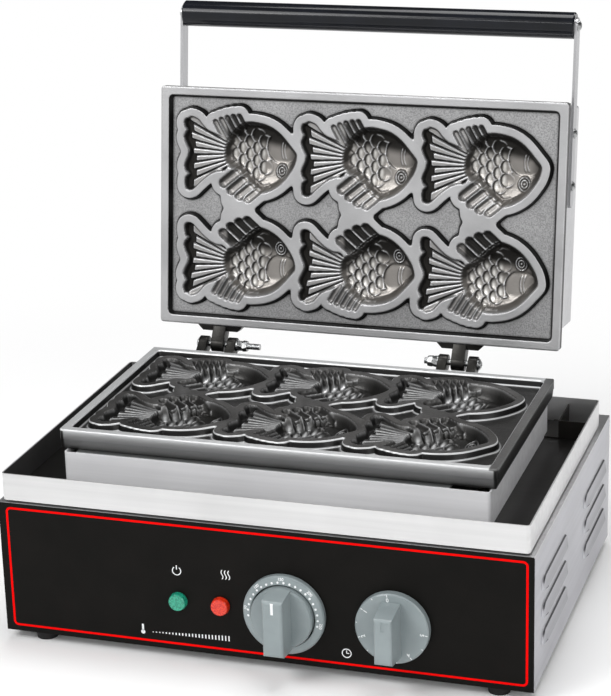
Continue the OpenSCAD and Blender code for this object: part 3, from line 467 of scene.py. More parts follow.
# One fish round its own middle: head towards +u, back fin towards +v
fish = {
    "bodyEdge": [(49.1, -1.8), (48.3, 2.6), (46.6, 7), (44.2, 11), (40.9, 15.8), (37.2, 20), (33, 23.6),
                 (28.2, 26.6), (23, 28.8), (17.6, 29.9), (13.4, 28.6), (8.6, 25.2), (4.2, 21.4), (0, 17),
                 (-4.2, 13.4), (-9.5, 10), (-14.5, 7), (-16, 0), (-15, -8), (-12, -13.5), (-8.4, -18.6),
                 (-4.4, -23.2), (0.4, -26.8), (6, -28.6), (12.2, -28.8), (18.2, -28), (23.8, -26.6),
                 (29.2, -24.2), (34.2, -20.8), (38.6, -16.6), (42.6, -12), (46.4, -7.6), (48.6, -4.6)],
    "tailEdge": [(-44.2, 30.3), (-47.2, 28.5), (-48, 24.5), (-47.4, 19.5), (-45.7, 16.8), (-47.7, 13.5),
                 (-48.3, 10), (-47.2, 6), (-45.3, 1.5), (-45, -3), (-46.7, -7), (-48.4, -11), (-48.7, -14.5),
                 (-47, -19), (-48.4, -22.5), (-48.7, -26), (-47.2, -29), (-44.8, -29.6), (-42.2, -31.1),
                 (-38.8, -30.4), (-35.2, -28.6), (-31.7, -24.6), (-26.2, -20), (-10, -13), (-6, 0), (-12, 12),
                 (-18.7, 13.5), (-24.7, 16), (-30.7, 20.5), (-35.7, 25.2), (-40.2, 29.4)],
    "bowlMiddle": (17.0, -0.5),
    "bowlReach": (40.0, 34.0),
    "bowlWall": 2.3,
    "tailRoot": (5.3, -2.1),
    "ridges": 9,
    "ridgeSpread": 30.0,
    "ridgeHeight": 3.6,
    "backFin": [(-13.6, 22.5), (-7.0, 28.0), (0.0, 32.0), (7.2, 33.8)],
    "backFinTilt": -40,
    "backFinRadius": 4.2,
    "bellyFin": [(-21 + 5.1 * i, -26.8 - 5.4 * math.sin(math.radians(22 * i))) for i in range(5)],
    "bellyFinTilt": 60,
    "bellyFinRadius": 2.4,
    "finLength": 16.0,
    "scaleRadius": 6.2,
    "scalePitch": (5.8, 10.4),
    "scaleStart": (-10.6, -0.9),
    "scaleColumns": 5,
    "scaleStep": 2.2,
    "gill": ((33.3, -7.5), 14.0),
    "cheek": ((50.0, -5.0), (17.6, 15.2)),
    "eye": (33.0, 11.5),
    "eyeRings": (5.2, 2.9),
    "landPatch": ((-9.0, 37.0), (0.0, 37.0), 0.5),
    "shadeLine": (6.0, 0.12, 8.0),
    "noseShade": (35.0, 11.0, 0.8),
    "ledges": [((17.5, 25.6), (24.0, 24.4)), ((6.0, -25.4), (15.5, -25.8))],
    "gridStep": 0.25,
    "gridReach": (64.0, 52.0),
}


# Scales, gill cover, cheek lines, ledges and eye on the bowl's floor, as added depth, with the lines of painted shade
# at their steps and the painted highlight on their facets
def bowlRelief(u, v):
    added, lines, facetHighlights = np.zeros(u.shape), np.zeros(u.shape), np.zeros(u.shape)
    radius = fish["scaleRadius"]
    across, along = fish["scalePitch"]
    for column in range(fish["scaleColumns"]):
        left = fish["scaleStart"][0] + across * column
        for row in range(-2, 3):
            middle = fish["scaleStart"][1] + along * (row + 0.5 * (column % 2))
            if math.hypot(left + radius - 8.5, middle + 1) > 21:
                continue
            away = np.hypot(u - left - radius, v - middle)
            lift = fish["scaleStep"] * np.clip(1 - (u - left) / across, -0.25, 1) - 1.3 * ((v - middle) / radius) ** 2
            cover = smoothStep((radius - away) / 0.6)
            added = added * (1 - cover) + lift * cover
            step = ridge(away - radius + 0.8, 0.8) * (u < left + radius)
            lines = lines * (1 - cover) + step * cover
            # Painted highlight on the middle of each scale's facet
            highlit = ridge(u - left - 3.3, 1.7) * ridge(v - middle + 1.2, 3.6)
            facetHighlights = facetHighlights * (1 - cover) + highlit * cover
    (gillU, gillV), radius = fish["gill"]
    away = np.hypot(u - gillU, v - gillV)
    part = smoothStep((12.5 - np.abs(v + 5.5)) / 5)
    cover = smoothStep((radius - away) / 0.7)
    added = added * (1 - cover) + 1.6 * np.exp(-(radius - away) / 4) * part * cover
    (cheekU, cheekV), radii = fish["cheek"]
    away = np.hypot(u - cheekU, v - cheekV)
    for radius in radii:
        added -= 1.1 * ridge(away - radius, 0.75) * smoothStep((8.5 - np.abs(v - cheekV)) / 3) * (u < cheekU)
    away = np.hypot((u - fish["eye"][0]) * 1.15, v - fish["eye"][1])
    added *= smoothStep((away - 5.5) / 1.5)
    for ring in fish["eyeRings"]:
        added -= 1.9 * ridge(away - ring, 0.75)
        lines = np.maximum(lines, ridge(away - ring + 1.2, 0.6))
    return added - 1.9 * ridge(away, 1.2), lines, facetHighlights


# Distance outside the mould's edge, its depth, where painted shade goes and where painted highlight goes, round the
# fish's middle
def fishField(u, v):
    body = outlineDistance(u, v, fish["bodyEdge"], 3)
    tail = outlineDistance(u, v, fish["tailEdge"], 3)
    reach = np.hypot((u - fish["bowlMiddle"][0]) / fish["bowlReach"][0],
                     (v - fish["bowlMiddle"][1]) / fish["bowlReach"][1])
    bowl = plate["bowlDepth"] * np.sqrt(np.clip(1 - reach ** 2.2, 0.02, 1))
    bodyDepth = np.clip(smoothMin(bowl, -fish["bowlWall"] * body, 3.0), 0, None)
    relief, lines, facetHighlights = bowlRelief(u, v)
    within = smoothStep((-body - 2.2) / 3)
    bodyDepth += relief * within
    for start, end in fish["ledges"]:
        bodyDepth -= 1.2 * ridge(stripDistance(u, v, start, end)[0], 0.8)
    bodyDepth = np.where(body < 0, np.clip(bodyDepth, 0, None), 0)
    rootU, rootV = fish["tailRoot"]
    angle = np.degrees(np.arctan2(v - rootV, rootU - u))
    turn = (angle + fish["ridgeSpread"]) / (2 * fish["ridgeSpread"]) * (fish["ridges"] - 1)
    turn = np.clip(turn, -0.5, fish["ridges"] - 0.5)
    crest = smoothStep(np.abs(np.cos(np.pi * turn)) * 1.8)
    stagger = 1.2 * np.cos(np.pi * np.round(turn)) - 1.4 * (1 - crest)
    ribbed = smoothStep((u + 40.6 + stagger + 0.12 * np.clip(-v, 0, 30)) / 1.6)
    tailFloor = plate["tailDepth"] - fish["ridgeHeight"] * crest * ribbed
    tailDepth = np.where(tail < 0, np.clip(smoothMin(tailFloor, -3.0 * tail, 1.0), 0, None), 0)
    # Painted shade in the tail's grooves and past its ridges' ends, and along the scales' steps
    shading = (1 - crest * ribbed) * smoothStep(-tail / 1.0) * smoothStep((body + 1) / 2)
    shading = np.maximum(shading, lines * within)
    distance = smoothMin(body, tail, 1.0)
    depth = np.maximum(bodyDepth, tailDepth)
    fins = [(fish["backFin"], fish["backFinTilt"], fish["backFinRadius"], 1.1, 1.3),
            (fish["bellyFin"], fish["bellyFinTilt"], fish["bellyFinRadius"], 1.5, 0.0)]
    for tips, tilt, radius, flat, crease in fins:
        turned = math.radians(tilt)
        for tip in tips:
            root = (tip[0] + fish["finLength"] * math.cos(turned), tip[1] + fish["finLength"] * math.sin(turned))
            away, aside = stripDistance(u, v, tip, root)
            trough = radius * flat * np.sqrt(np.clip(1 - (away / radius) ** 2, 0, 1))
            if crease:
                trough = np.where(away < radius, trough + 0.8 * ridge(aside - crease, 0.55), 0)
            flank = smoothStep(-body) * smoothStep((7 + body) / 3)
            depth = np.maximum(depth, trough) + 0.45 * trough * flank
            distance = np.minimum(distance, away - radius)
    start, end, radius = fish["landPatch"]
    distance = smoothMin(distance, stripDistance(u, v, start, end)[0] - radius, 3.0)
    return distance, depth ** 2 / (depth + 0.25), shading, facetHighlights * within


reachU, reachV = fish["gridReach"]
gridU = np.arange(-reachU, reachU + 0.01, fish["gridStep"])
gridV = np.arange(-reachV, reachV + 0.01, fish["gridStep"])
fishGrids = fishField(*np.meshgrid(gridU, gridV))


# Reads one of the fish's grids between its points
def sampled(grid, u, v):
    a = np.clip((u + reachU) / fish["gridStep"], 0, grid.shape[1] - 1.001)
    b = np.clip((v + reachV) / fish["gridStep"], 0, grid.shape[0] - 1.001)
    i, j = a.astype(int), b.astype(int)
    p, q = a - i, b - j
    return ((grid[j, i] * (1 - p) + grid[j, i + 1] * p) * (1 - q)
            + (grid[j + 1, i] * (1 - p) + grid[j + 1, i + 1] * p) * q)


# Height of the plate's face, and the marks that its finish follows, painted shade and painted highlight among them
def faceHeight(x, t):
    distance = np.full(x.shape, 1e9)
    depth, shading, facetHighlight = (np.zeros(x.shape) for _ in range(3))
    offset, slant, blend = fish["shadeLine"]
    noseStart, noseBlend, noseAmount = fish["noseShade"]
    for column in (-1, 0, 1):
        for row in (0, 1):
            u = x - column * plate["pitch"]
            middle = plate["rowPlace"] if row == 0 else plate["depth"] - plate["rowPlace"]
            v = t - middle if row == 0 else middle - t
            near = (np.abs(u) < reachU - 1) & (np.abs(v) < reachV - 1)
            distance[near] = smoothMin(distance[near], sampled(fishGrids[0], u[near], v[near]), 4.0)
            own = sampled(fishGrids[1], u[near], v[near])
            depth[near] = np.maximum(depth[near], own)
            # Painted shade lies on the flank away from the hinge and round the nose
            flankShade = smoothStep((t[near] - middle - offset + slant * (u[near] - 17)) / blend) * smoothStep((own - 1) / 2)
            flankShade *= smoothStep((u[near] + 14) / 4)
            nose = noseAmount * smoothStep((u[near] - noseStart) / noseBlend) * smoothStep((own - 1) / 2)
            shading[near] = np.maximum.reduce([shading[near], sampled(fishGrids[2], u[near], v[near]), flankShade, nose])
            # Painted highlight on the scales' facets, taken off where the flank's painted shade lies
            facetHighlight[near] = np.maximum(facetHighlight[near], sampled(fishGrids[3], u[near], v[near]) * (1 - flankShade))
    half, deep = plate["width"] / 2, plate["depth"] / 2
    toEdge = np.minimum(half - np.abs(x), deep - np.abs(t - deep))
    corner = plate["rim"] + plate["fieldCorner"]
    aside = np.hypot(np.clip(np.abs(x) - half + corner, 0, None), np.clip(np.abs(t - deep) - deep + corner, 0, None))
    toRim = np.where(aside > 0, plate["fieldCorner"] - aside, toEdge - plate["rim"])
    across = np.minimum(distance - plate["land"], toRim)
    field = smoothStep(across / plate["draft"])
    rounding = np.clip(plate["edgeRadius"] - toEdge, 0, plate["edgeRadius"])
    fall = plate["edgeRadius"] - np.sqrt(np.clip(plate["edgeRadius"] ** 2 - rounding ** 2, 0, None))
    marks = {
        "field": field,
        "rim": smoothStep(1 - toRim / 1.0) * (1 - 0.9 * smoothStep((x - half + plate["rim"] + 0.8) / 1.0)),
        # Where the walls' painted shade and painted highlight go
        "wall": smoothStep((across + 0.9) / 0.5) * smoothStep((plate["draft"] + 1.3 - across) / 0.5) * (depth < 0.4),
        "facetHighlight": facetHighlight,
        # Painted shade in the moulds, kept off the sunk field
        "shadeAndSoot": 0.95 * shading * (field < 0.5),
    }
    return -np.maximum(depth, plate["fieldDepth"] * field) - fall, depth, marks


# The grid averaged with its neighbours
def softened(grid, passes):
    for _ in range(passes):
        padded = np.pad(grid, 1, mode="edge")
        grid = (4 * grid + padded[:-2, 1:-1] + padded[2:, 1:-1] + padded[1:-1, :-2] + padded[1:-1, 2:]) / 8
    return grid


# One third of a cast plate: a grid lifted into the moulded face, its border drawn down to a flat back
def plateColumn(name, xLow, xHigh, placed, body, material):
    columns = int(round((xHigh - xLow) / plate["step"]))
    rows = int(round(plate["depth"] / plate["step"]))
    bm = bmesh.new()
    bmesh.ops.create_grid(bm, x_segments=columns, y_segments=rows, size=0.5)
    mesh = bpy.data.meshes.new(name)
    bm.to_mesh(mesh)
    bm.free()
    unit = np.empty(len(mesh.vertices) * 3)
    mesh.vertices.foreach_get("co", unit)
    unit = unit.reshape(-1, 3)
    order = np.lexsort((unit[:, 0].round(5), unit[:, 1].round(5)))
    margin = 8
    step = (xHigh - xLow) / columns
    xs = xLow + step * np.arange(-margin, columns + margin + 1)
    x, t = np.meshgrid(xs, np.linspace(0, plate["depth"], rows + 1))
    z, depth, marks = faceHeight(x, t)
    z = softened(z, 1)
    slopeT, slopeX = np.gradient(z, plate["depth"] / rows, step)
    steepness = smoothStep((np.hypot(slopeX, slopeT) - 0.55) / 1.1)
    mould = depth > 0.4
    spread = int(round((1.4 / step) ** 2))
    # Painted shade on the moulds' steep walls that face the hinge, spread a little
    turned = smoothStep((slopeT + 0.5) / 0.7)
    mouldShade = np.clip(softened(steepness * turned * mould, spread) * 1.5, 0, 1) * 0.85 * mould
    marks["shadeAndSoot"] = np.maximum(marks["shadeAndSoot"], mouldShade)
    # Worn edges with painted highlight on the moulds' crests, less on steep walls in painted shade
    marks["edge"] = np.clip((z - softened(z, spread)) * 2.4 - 0.15, 0, 1) * (1 - 0.8 * turned * steepness) * mould
    marks["depth"] = np.clip(depth / 6, 0, 1)
    marks["height"] = z
    keep = np.s_[:, margin:-margin]
    half, deep, radius = plate["width"] / 2, plate["depth"], plate["cornerRadius"]
    x, t, z = x[keep], t[keep], z[keep]
    cx = np.clip(x, -half + radius, half - radius)
    ct = np.clip(t, radius, deep - radius)
    away = np.hypot(x - cx, t - ct)
    pull = np.where(away > radius, radius / np.maximum(away, 1e-9), 1)
    places = np.empty_like(unit)
    places[order] = np.stack([cx + (x - cx) * pull, ct + (t - ct) * pull, z], -1).reshape(-1, 3)
    mesh.vertices.foreach_set("co", places.ravel())
    bm = bmesh.new()
    bm.from_mesh(mesh)
    ring = [e for e in bm.edges if e.is_boundary]
    for height, inset in plate["sideLevels"]:
        made = bmesh.ops.extrude_edge_only(bm, edges=ring)["geom"]
        ring = [e for e in made if isinstance(e, bmesh.types.BMEdge) and e.is_boundary]
        for vertex in {v for e in ring for v in e.verts}:
            vertex.co = (min(max(vertex.co.x, -half + inset), half - inset),
                         min(max(vertex.co.y, inset), deep - inset), min(height, vertex.co.z - plate["leastDrop"]))
    # Side points that the corners' insets brought together are merged; the face's own points keep their order
    bm.verts.ensure_lookup_table()
    bmesh.ops.remove_doubles(bm, verts=bm.verts[len(unit):], dist=0.001)
    bmesh.ops.triangle_fill(bm, use_beauty=True, edges=[e for e in bm.edges if e.is_boundary])
    bm.to_mesh(mesh)
    bm.free()
    flat = np.empty(len(mesh.vertices) * 3)
    mesh.vertices.foreach_get("co", flat)
    heights = flat[2::3].copy()
    ends = smoothStep((np.abs(flat[0::3]) - half + 4) / 1.5)
    mesh.vertices.foreach_set("co", placed(flat.reshape(-1, 3)).ravel())
    # The lower plate's placing mirrors it, so which way is outward is worked out once it is in place
    bm = bmesh.new()
    bm.from_mesh(mesh)
    bmesh.ops.recalc_face_normals(bm, faces=bm.faces)
    bm.to_mesh(mesh)
    bm.free()
    mesh.shade_smooth()
    mesh.set_sharp_from_angle(angle=math.radians(50))
    # The two ends are darkened, and so is the rim at the right; down the sides the rim tone is lighter near the face
    # and darker towards the back
    atSides = {"rim": np.interp(heights, *zip(*plate["sideRim"])) * (1 - ends), "field": 0.5,
               "shadeAndSoot": plate["endDarkening"] * ends}
    for label, grid in marks.items():
        values = np.zeros(len(mesh.vertices)) + atSides.get(label, 0.0)
        values[order] = grid[keep].ravel()
        mesh.attributes.new(label, "FLOAT", "POINT").data.foreach_set("value", values.astype(np.float32))
    return addObject(name, mesh, body, material)


faceZ = pivot.z / mm - plate["faceBelowPivot"]
hingeEdge = plateLow.y / mm + plate["depth"]
lidFaceZ = faceZ + plate["faceGap"]
openTurn = Matrix.Translation(pivot) @ Matrix.Rotation(-openAngle, 4, "X") @ Matrix.Translation(-pivot)


def placeLower(points):
    return np.stack([points[:, 0], hingeEdge - points[:, 1], faceZ + points[:, 2]], -1) * mm


# Points in millimetres, as the closed lid has them, in metres with the lid open
def openLid(points):
    turned = np.array(openTurn)
    return points * mm @ turned[:3, :3].T + turned[:3, 3]


def placeUpper(points):
    return openLid(np.stack([points[:, 0], hingeEdge - points[:, 1], lidFaceZ - points[:, 2]], -1))


seams = [-plate["width"] / 2, -plate["pitch"] / 2, plate["pitch"] / 2, plate["width"] / 2]
plates = [("lower", placeLower, "root", "oiledCast", "cast_plate_seasoned"),
          ("upper", placeUpper, "lid", "bareCast", "cast_plate_bare")]
for label, placed, body, material, slot in plates:
    for side, low, high in zip(("left", "middle", "right"), seams, seams[1:]):
        third = plateColumn(f"{label}_plate_{side}", low, high, placed, body, material)
        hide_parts(f"{label}_plate")
print("plates made")


# Small solid builders
def newMesh(name, bm, smoothAngle=35):
    bmesh.ops.recalc_face_normals(bm, faces=bm.faces)
    mesh = bpy.data.meshes.new(name)
    bm.to_mesh(mesh)
    bm.free()
    mesh.shade_smooth()
    mesh.set_sharp_from_angle(angle=math.radians(smoothAngle))
    return mesh


# A straight solid on an outline of points, drawn out along a direction; hole is an outline of equal length
def prism(bm, outline, direction, depth, bevel=0.0, hole=None):
    rings = [[bm.verts.new(point) for point in ring] for ring in ([outline, hole] if hole else [outline])]
    edges = [bm.edges.new(pair) for ring in rings for pair in zip(ring, ring[1:] + ring[:1])]
    if hole:
        faces = bmesh.ops.bridge_loops(bm, edges=edges)["faces"]
    else:
        faces = bmesh.ops.contextual_create(bm, geom=edges)["faces"]
    drawn = bmesh.ops.extrude_face_region(bm, geom=faces)["geom"]
    far = {item for item in drawn if isinstance(item, bmesh.types.BMVert)}
    bmesh.ops.translate(bm, verts=list(far), vec=Vector(direction) * depth)
    if bevel:
        near = set(rings[0])
        outside = {v for v in far if any(e.other_vert(v) in near for e in v.link_edges)}
        rims = {e for side in (near, outside) for v in side for e in v.link_edges if e.other_vert(v) in side}
        bmesh.ops.bevel(bm, geom=list(rims), offset=bevel, affect="EDGES", segments=3, profile=0.5, material=-1)


def arc(radius, start, end, count):
    return [(radius * math.cos(math.radians(a)), radius * math.sin(math.radians(a)))
            for a in np.linspace(start, end, count)]


# Hinge eyes of the lower plate and lugs of the upper one
hinge = {
    "places": (-116.7, 87.2),
    "near": 8.5,
    "far": 16.0,
    "lugWidth": 11.0,
    "radius": 6.3,
    "bore": 2.56,
    "lugDepth": 5.0,
    "lugBase": 40.0,
    "bevel": 0.5,
}


# The outline of an eye and its web, and its bore's outline, in one plane across the pin
def eyeRing(web, x, transform):
    py, pz = pivot.y / mm, pivot.z / mm
    angles = [math.degrees(math.atan2(z - pz, y - py)) for y, z in web]
    first, last = angles[0], angles[-1]
    sweep = (first - last) % 360
    curve = [(py + a, pz + b) for a, b in arc(hinge["radius"], last, last + sweep, 22)]
    outline = [curve[-1]] + list(web[1:-1]) + curve[:-1]
    bore = []
    for y, z in outline:
        away = math.hypot(y - py, z - pz)
        bore.append((py + (y - py) * hinge["bore"] / away, pz + (z - pz) * hinge["bore"] / away))
    return [[Vector(p) for p in transform(np.array([(x, y, z) for y, z in ring]))] for ring in (outline, bore)]


def eye(bm, web, low, high, transform):
    start, startBore = eyeRing(web, low, transform)
    prism(bm, start, (1, 0, 0), (high - low) * mm, hinge["bevel"] * mm, startBore)


def tangentPoint(angle):
    a = math.radians(angle)
    return (pivot.y / mm + hinge["radius"] * math.cos(a), pivot.z / mm + hinge["radius"] * math.sin(a))


def closedPlace(points):
    return points * mm


lowerWeb = [tangentPoint(152), (hingeEdge - 1, faceZ - 5), (hingeEdge - 1, faceZ - 13), tangentPoint(285)]
upperWeb = [tangentPoint(36), (hingeEdge - 1, lidFaceZ + 14), (hingeEdge - 1, lidFaceZ + 2.5), tangentPoint(225)]
bm = bmesh.new()
for x in hinge["places"]:
    eye(bm, lowerWeb, x - hinge["far"], x - hinge["near"], closedPlace)
    eye(bm, lowerWeb, x + hinge["near"], x + hinge["far"], closedPlace)
lowerEyes = addObject("lower_hinge_eyes", newMesh("lower_hinge_eyes", bm), "root", "roughCast")

bm = bmesh.new()
for x in hinge["places"]:
    eye(bm, upperWeb, x - hinge["lugWidth"] / 2, x + hinge["lugWidth"] / 2, openLid)
    half, top = hinge["lugBase"] / 2, hingeEdge + hinge["lugDepth"]
    base = [(x - half, hingeEdge - 1), (x - half, hingeEdge), (x - half + 5, top), (x + half - 5, top),
            (x + half, hingeEdge), (x + half, hingeEdge - 1)]
    low = lidFaceZ + 2.5
    outline = [Vector(p) for p in openLid(np.array([(a, b, low) for a, b in base]))]
    upward = openTurn.to_3x3() @ Vector((0, 0, 1))
    prism(bm, outline, upward, (plate["thickness"] - 5) * mm, 0.8 * mm)
upperLugs = addObject("upper_hinge_lugs", newMesh("upper_hinge_lugs", bm), "lid", "roughCast")


# The boss behind the moulds, seen only where its cover is open
bossShape = {"sideInset": 17, "endInset": 23, "corner": 8, "overlap": 0.2, "edgeRadius": 1.2}


def boss(name, transform, upward, body, material):
    half = plate["width"] / 2 - bossShape["sideInset"]
    bm = bmesh.new()
    outline = []
    for cx, cy, start in ((1, 1, 0), (-1, 1, 90), (-1, -1, 180), (1, -1, 270)):
        for a, b in arc(bossShape["corner"], start, start + 90, 6):
            outline.append((cx * (half - bossShape["corner"]) + a,
                            plate["depth"] / 2 + cy * (plate["depth"] / 2 - bossShape["endInset"]) + b))
    flat = np.array([(x, t, -plate["thickness"] + bossShape["overlap"]) for x, t in outline])
    depth = (plate["bossDepth"] + bossShape["overlap"]) * mm
    prism(bm, [Vector(p) for p in transform(flat)], upward, depth, bossShape["edgeRadius"] * mm)
    addObject(name, newMesh(name, bm), body, material)


boss("lower_plate_boss", placeLower, (0, 0, -1), "root", "oiledCast")
boss("upper_plate_boss", placeUpper, openTurn.to_3x3() @ Vector((0, 0, 1)), "lid", "bareCast")
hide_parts("lower_plate")
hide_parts("upper_plate")
print("hinges made")


# Print on the front panel and the dials: flat shapes a hair proud of what carries them
ink = {"lift": 0.04, "thickness": 0.06, "bolder": 0.022}


def onFront(x, z, y):
    return Vector((x, y, z)) * mm


# A thin solid on an outline of (x, z) points, its front at y
def inkFace(bm, outline, y):
    prism(bm, [onFront(x, z, y) for x, z in outline], (0, 1, 0), ink["thickness"] * mm)


# A flat ring or part of one
def inkRing(bm, centre, outer, inner, y, start=0, end=360, count=48):
    full = end - start >= 360
    out = [(centre[0] + a, centre[1] + b) for a, b in arc(outer, start, end, count)]
    into = [(centre[0] + a, centre[1] + b) for a, b in arc(inner, start, end, count)]
    if full:
        prism(bm, [onFront(x, z, y) for x, z in out[:-1]], (0, 1, 0), ink["thickness"] * mm,
              hole=[onFront(x, z, y) for x, z in into[:-1]])
    else:
        inkFace(bm, out + into[::-1], y)


def inkBar(bm, start, end, width, y):
    direction = Vector((end[0] - start[0], end[1] - start[1]))
    side = Vector((-direction.y, direction.x)).normalized() * width / 2
    inkFace(bm, [(start[0] + side.x, start[1] + side.y), (end[0] + side.x, end[1] + side.y),
                 (end[0] - side.x, end[1] - side.y), (start[0] - side.x, start[1] - side.y)], y)


def roundRect(low, high, radius, count=8):
    points = []
    for x, z, start in ((high[0] - radius, high[1] - radius, 0), (low[0] + radius, high[1] - radius, 90),
                        (low[0] + radius, low[1] + radius, 180), (high[0] - radius, low[1] + radius, 270)):
        points += [(x + a, z + b) for a, b in arc(radius, start, start + 90, count)]
    return points


# A number printed on a dial, turned about its own middle and leant back with a sloping face, in degrees
def inkNumber(bm, text, centre, size, turn, y, lean=0.0):
    curve = bpy.data.curves.new("number", "FONT")
    curve.body = text
    curve.size = size
    curve.offset = ink["bolder"] * size
    curve.align_x = "CENTER"
    curve.align_y = "CENTER"
    curve.resolution_u = 3
    holder = bpy.data.objects.new("number", curve)
    bpy.context.scene.collection.objects.link(holder)
    flat = bpy.data.meshes.new_from_object(holder.evaluated_get(bpy.context.evaluated_depsgraph_get()))
    bpy.data.objects.remove(holder)
    part = bmesh.new()
    part.from_mesh(flat)
    bpy.data.meshes.remove(flat)
    bmesh.ops.remove_doubles(part, verts=part.verts, dist=size * 1e-4)
    extruded = bmesh.ops.extrude_face_region(part, geom=part.faces[:])
    moved = [v for v in extruded["geom"] if isinstance(v, bmesh.types.BMVert)]
    bmesh.ops.translate(part, verts=moved, vec=(0, 0, -ink["thickness"]))
    place = (Matrix.Translation(onFront(centre[0], centre[1], y)) @ Matrix.Rotation(math.pi / 2, 4, "X")
             @ Matrix.Rotation(math.radians(turn), 4, "Z") @ Matrix.Rotation(-math.radians(lean), 4, "X")
             @ Matrix.Scale(mm, 4))
    bmesh.ops.transform(part, matrix=place, verts=part.verts)
    solid = bpy.data.meshes.new("number")
    part.to_mesh(solid)
    part.free()
    bm.from_mesh(solid)
    bpy.data.meshes.remove(solid)


labelFront = labelLow.y / mm - ink["lift"]
border = {"low": (-197.5, 12.0), "high": (199.5, 109.0), "width": 1.7, "radius": 4.0}
bm = bmesh.new()
outer = roundRect(border["low"], border["high"], border["radius"])
w = border["width"]
inner = roundRect([c + w for c in border["low"]], [c - w for c in border["high"]], border["radius"] - w)
prism(bm, [onFront(x, z, labelFront) for x, z in outer], (0, 1, 0), ink["thickness"] * mm,
      hole=[onFront(x, z, labelFront) for x, z in inner])
addObject("label_border", newMesh("label_border", bm), "root", "redInk")

signs = {"power": (-63.0, 72.0), "heat": (-25.0, 73.0), "thermometer": (-92.0, 21.5), "clock": (66.0, 21.5)}
bm = bmesh.new()
x, z = signs["power"]
inkRing(bm, (x, z), 3.6, 2.9, labelFront, 125, 415, 40)
inkBar(bm, (x, z + 1.0), (x, z + 4.4), 0.8, labelFront)
x, z = signs["heat"]
for shift in (-2.6, 0, 2.6):
    wave = [(x + shift + 0.7 * math.sin(k * math.pi / 5), z - 3.6 + 0.72 * k) for k in range(11)]
    left = [(a - 0.35, b) for a, b in wave]
    right = [(a + 0.35, b) for a, b in wave]
    inkFace(bm, right + left[::-1], labelFront)
x, z = signs["thermometer"]
inkRing(bm, (x, z - 2.2), 1.7, 0.1, labelFront)
inkFace(bm, roundRect((x - 0.8, z - 1.4), (x + 0.8, z + 4.2), 0.75, 5), labelFront)
for k in range(24):
    inkBar(bm, (x + 8 + 2.6 * k, z - 1.8), (x + 8 + 2.6 * k, z - 1.2 + 0.16 * k), 0.9, labelFront)
x, z = signs["clock"]
inkRing(bm, (x, z), 3.7, 3.0, labelFront)
inkBar(bm, (x, z - 0.3), (x, z + 2.3), 0.7, labelFront)
inkBar(bm, (x - 0.3, z), (x + 1.9, z), 0.7, labelFront)
addObject("label_signs", newMesh("label_signs", bm), "root", "whiteInk")

ringX, ringZ = ringPlace.x / mm, ringPlace.z / mm
ringFront = labelLow.y / mm
dial = {"dots": 21, "dotStart": 185.0, "dotStep": -9.8, "dotPlace": 26.5, "dotSize": 0.9, "lean": 13.5,
        "numbers": (("50", 173), ("100", 133), ("150", 92), ("200", 44), ("250", -10)),
        "numberPlace": 28.8, "numberSize": 3.1}


# How far the ring's sloping face stands out at a radius
def coneLift(radius):
    return 6.0 - (radius - 25.0) * 1.2 / 5.0 + 0.12


bm = bmesh.new()
for k in range(dial["dots"]):
    a = math.radians(dial["dotStart"] + k * dial["dotStep"])
    centre = (ringX + dial["dotPlace"] * math.cos(a), ringZ + dial["dotPlace"] * math.sin(a))
    place = (Matrix.Translation(onFront(centre[0], centre[1], ringFront - coneLift(dial["dotPlace"])))
             @ Matrix.Rotation(math.pi / 2, 4, "X") @ Matrix.Rotation(a - math.pi / 2, 4, "Z")
             @ Matrix.Rotation(-math.radians(dial["lean"]), 4, "X") @ Matrix.Scale(mm, 4))
    bmesh.ops.create_cone(bm, cap_ends=True, segments=12, radius1=dial["dotSize"], radius2=dial["dotSize"],
                          depth=ink["thickness"], matrix=place)
for text, angle in dial["numbers"]:
    a = math.radians(angle)
    centre = (ringX + dial["numberPlace"] * math.cos(a), ringZ + dial["numberPlace"] * math.sin(a))
    inkNumber(bm, text, centre, dial["numberSize"], angle - 90, ringFront - coneLift(dial["numberPlace"]),
              dial["lean"])
addObject("temperature_numbers", newMesh("temperature_numbers", bm), "root", "whiteInk")

pointer = {"width": 2.2, "low": 12.0, "high": 21.0, "face": 29.62}
bm = bmesh.new()
inkFace(bm, [(ringX + s * pointer["width"] / 2, ringZ + pointer[k])
             for s, k in ((-1, "low"), (1, "low"), (1, "high"), (-1, "high"))], ringFront - pointer["face"] - 0.05)
addObject("thermostat_pointer", newMesh("thermostat_pointer", bm), "thermostat_knob", "whiteInk")

timerX, timerZ = timerPlace.x / mm, timerPlace.z / mm
clock = {"first": 97.0, "step": 51.6, "numberPlace": 22.4, "numberSize": 4.2, "tick": (24.8, 26.6), "face": 6.44}
bm = bmesh.new()
for k in range(11):
    angle = clock["first"] + clock["step"] * k / 2
    a = math.radians(angle)
    low, high = clock["tick"]
    low += 0 if k % 2 == 0 else 0.8
    inkBar(bm, (timerX + low * math.cos(a), timerZ + low * math.sin(a)),
           (timerX + high * math.cos(a), timerZ + high * math.sin(a)), 0.6, ringFront - clock["face"])
    if k % 2 == 0:
        centre = (timerX + clock["numberPlace"] * math.cos(a), timerZ + clock["numberPlace"] * math.sin(a))
        inkNumber(bm, str(k // 2), centre, clock["numberSize"], angle - 90, ringFront - clock["face"])
addObject("timer_numbers", newMesh("timer_numbers", bm), "timer_knob", "whiteInk")
print("print made")

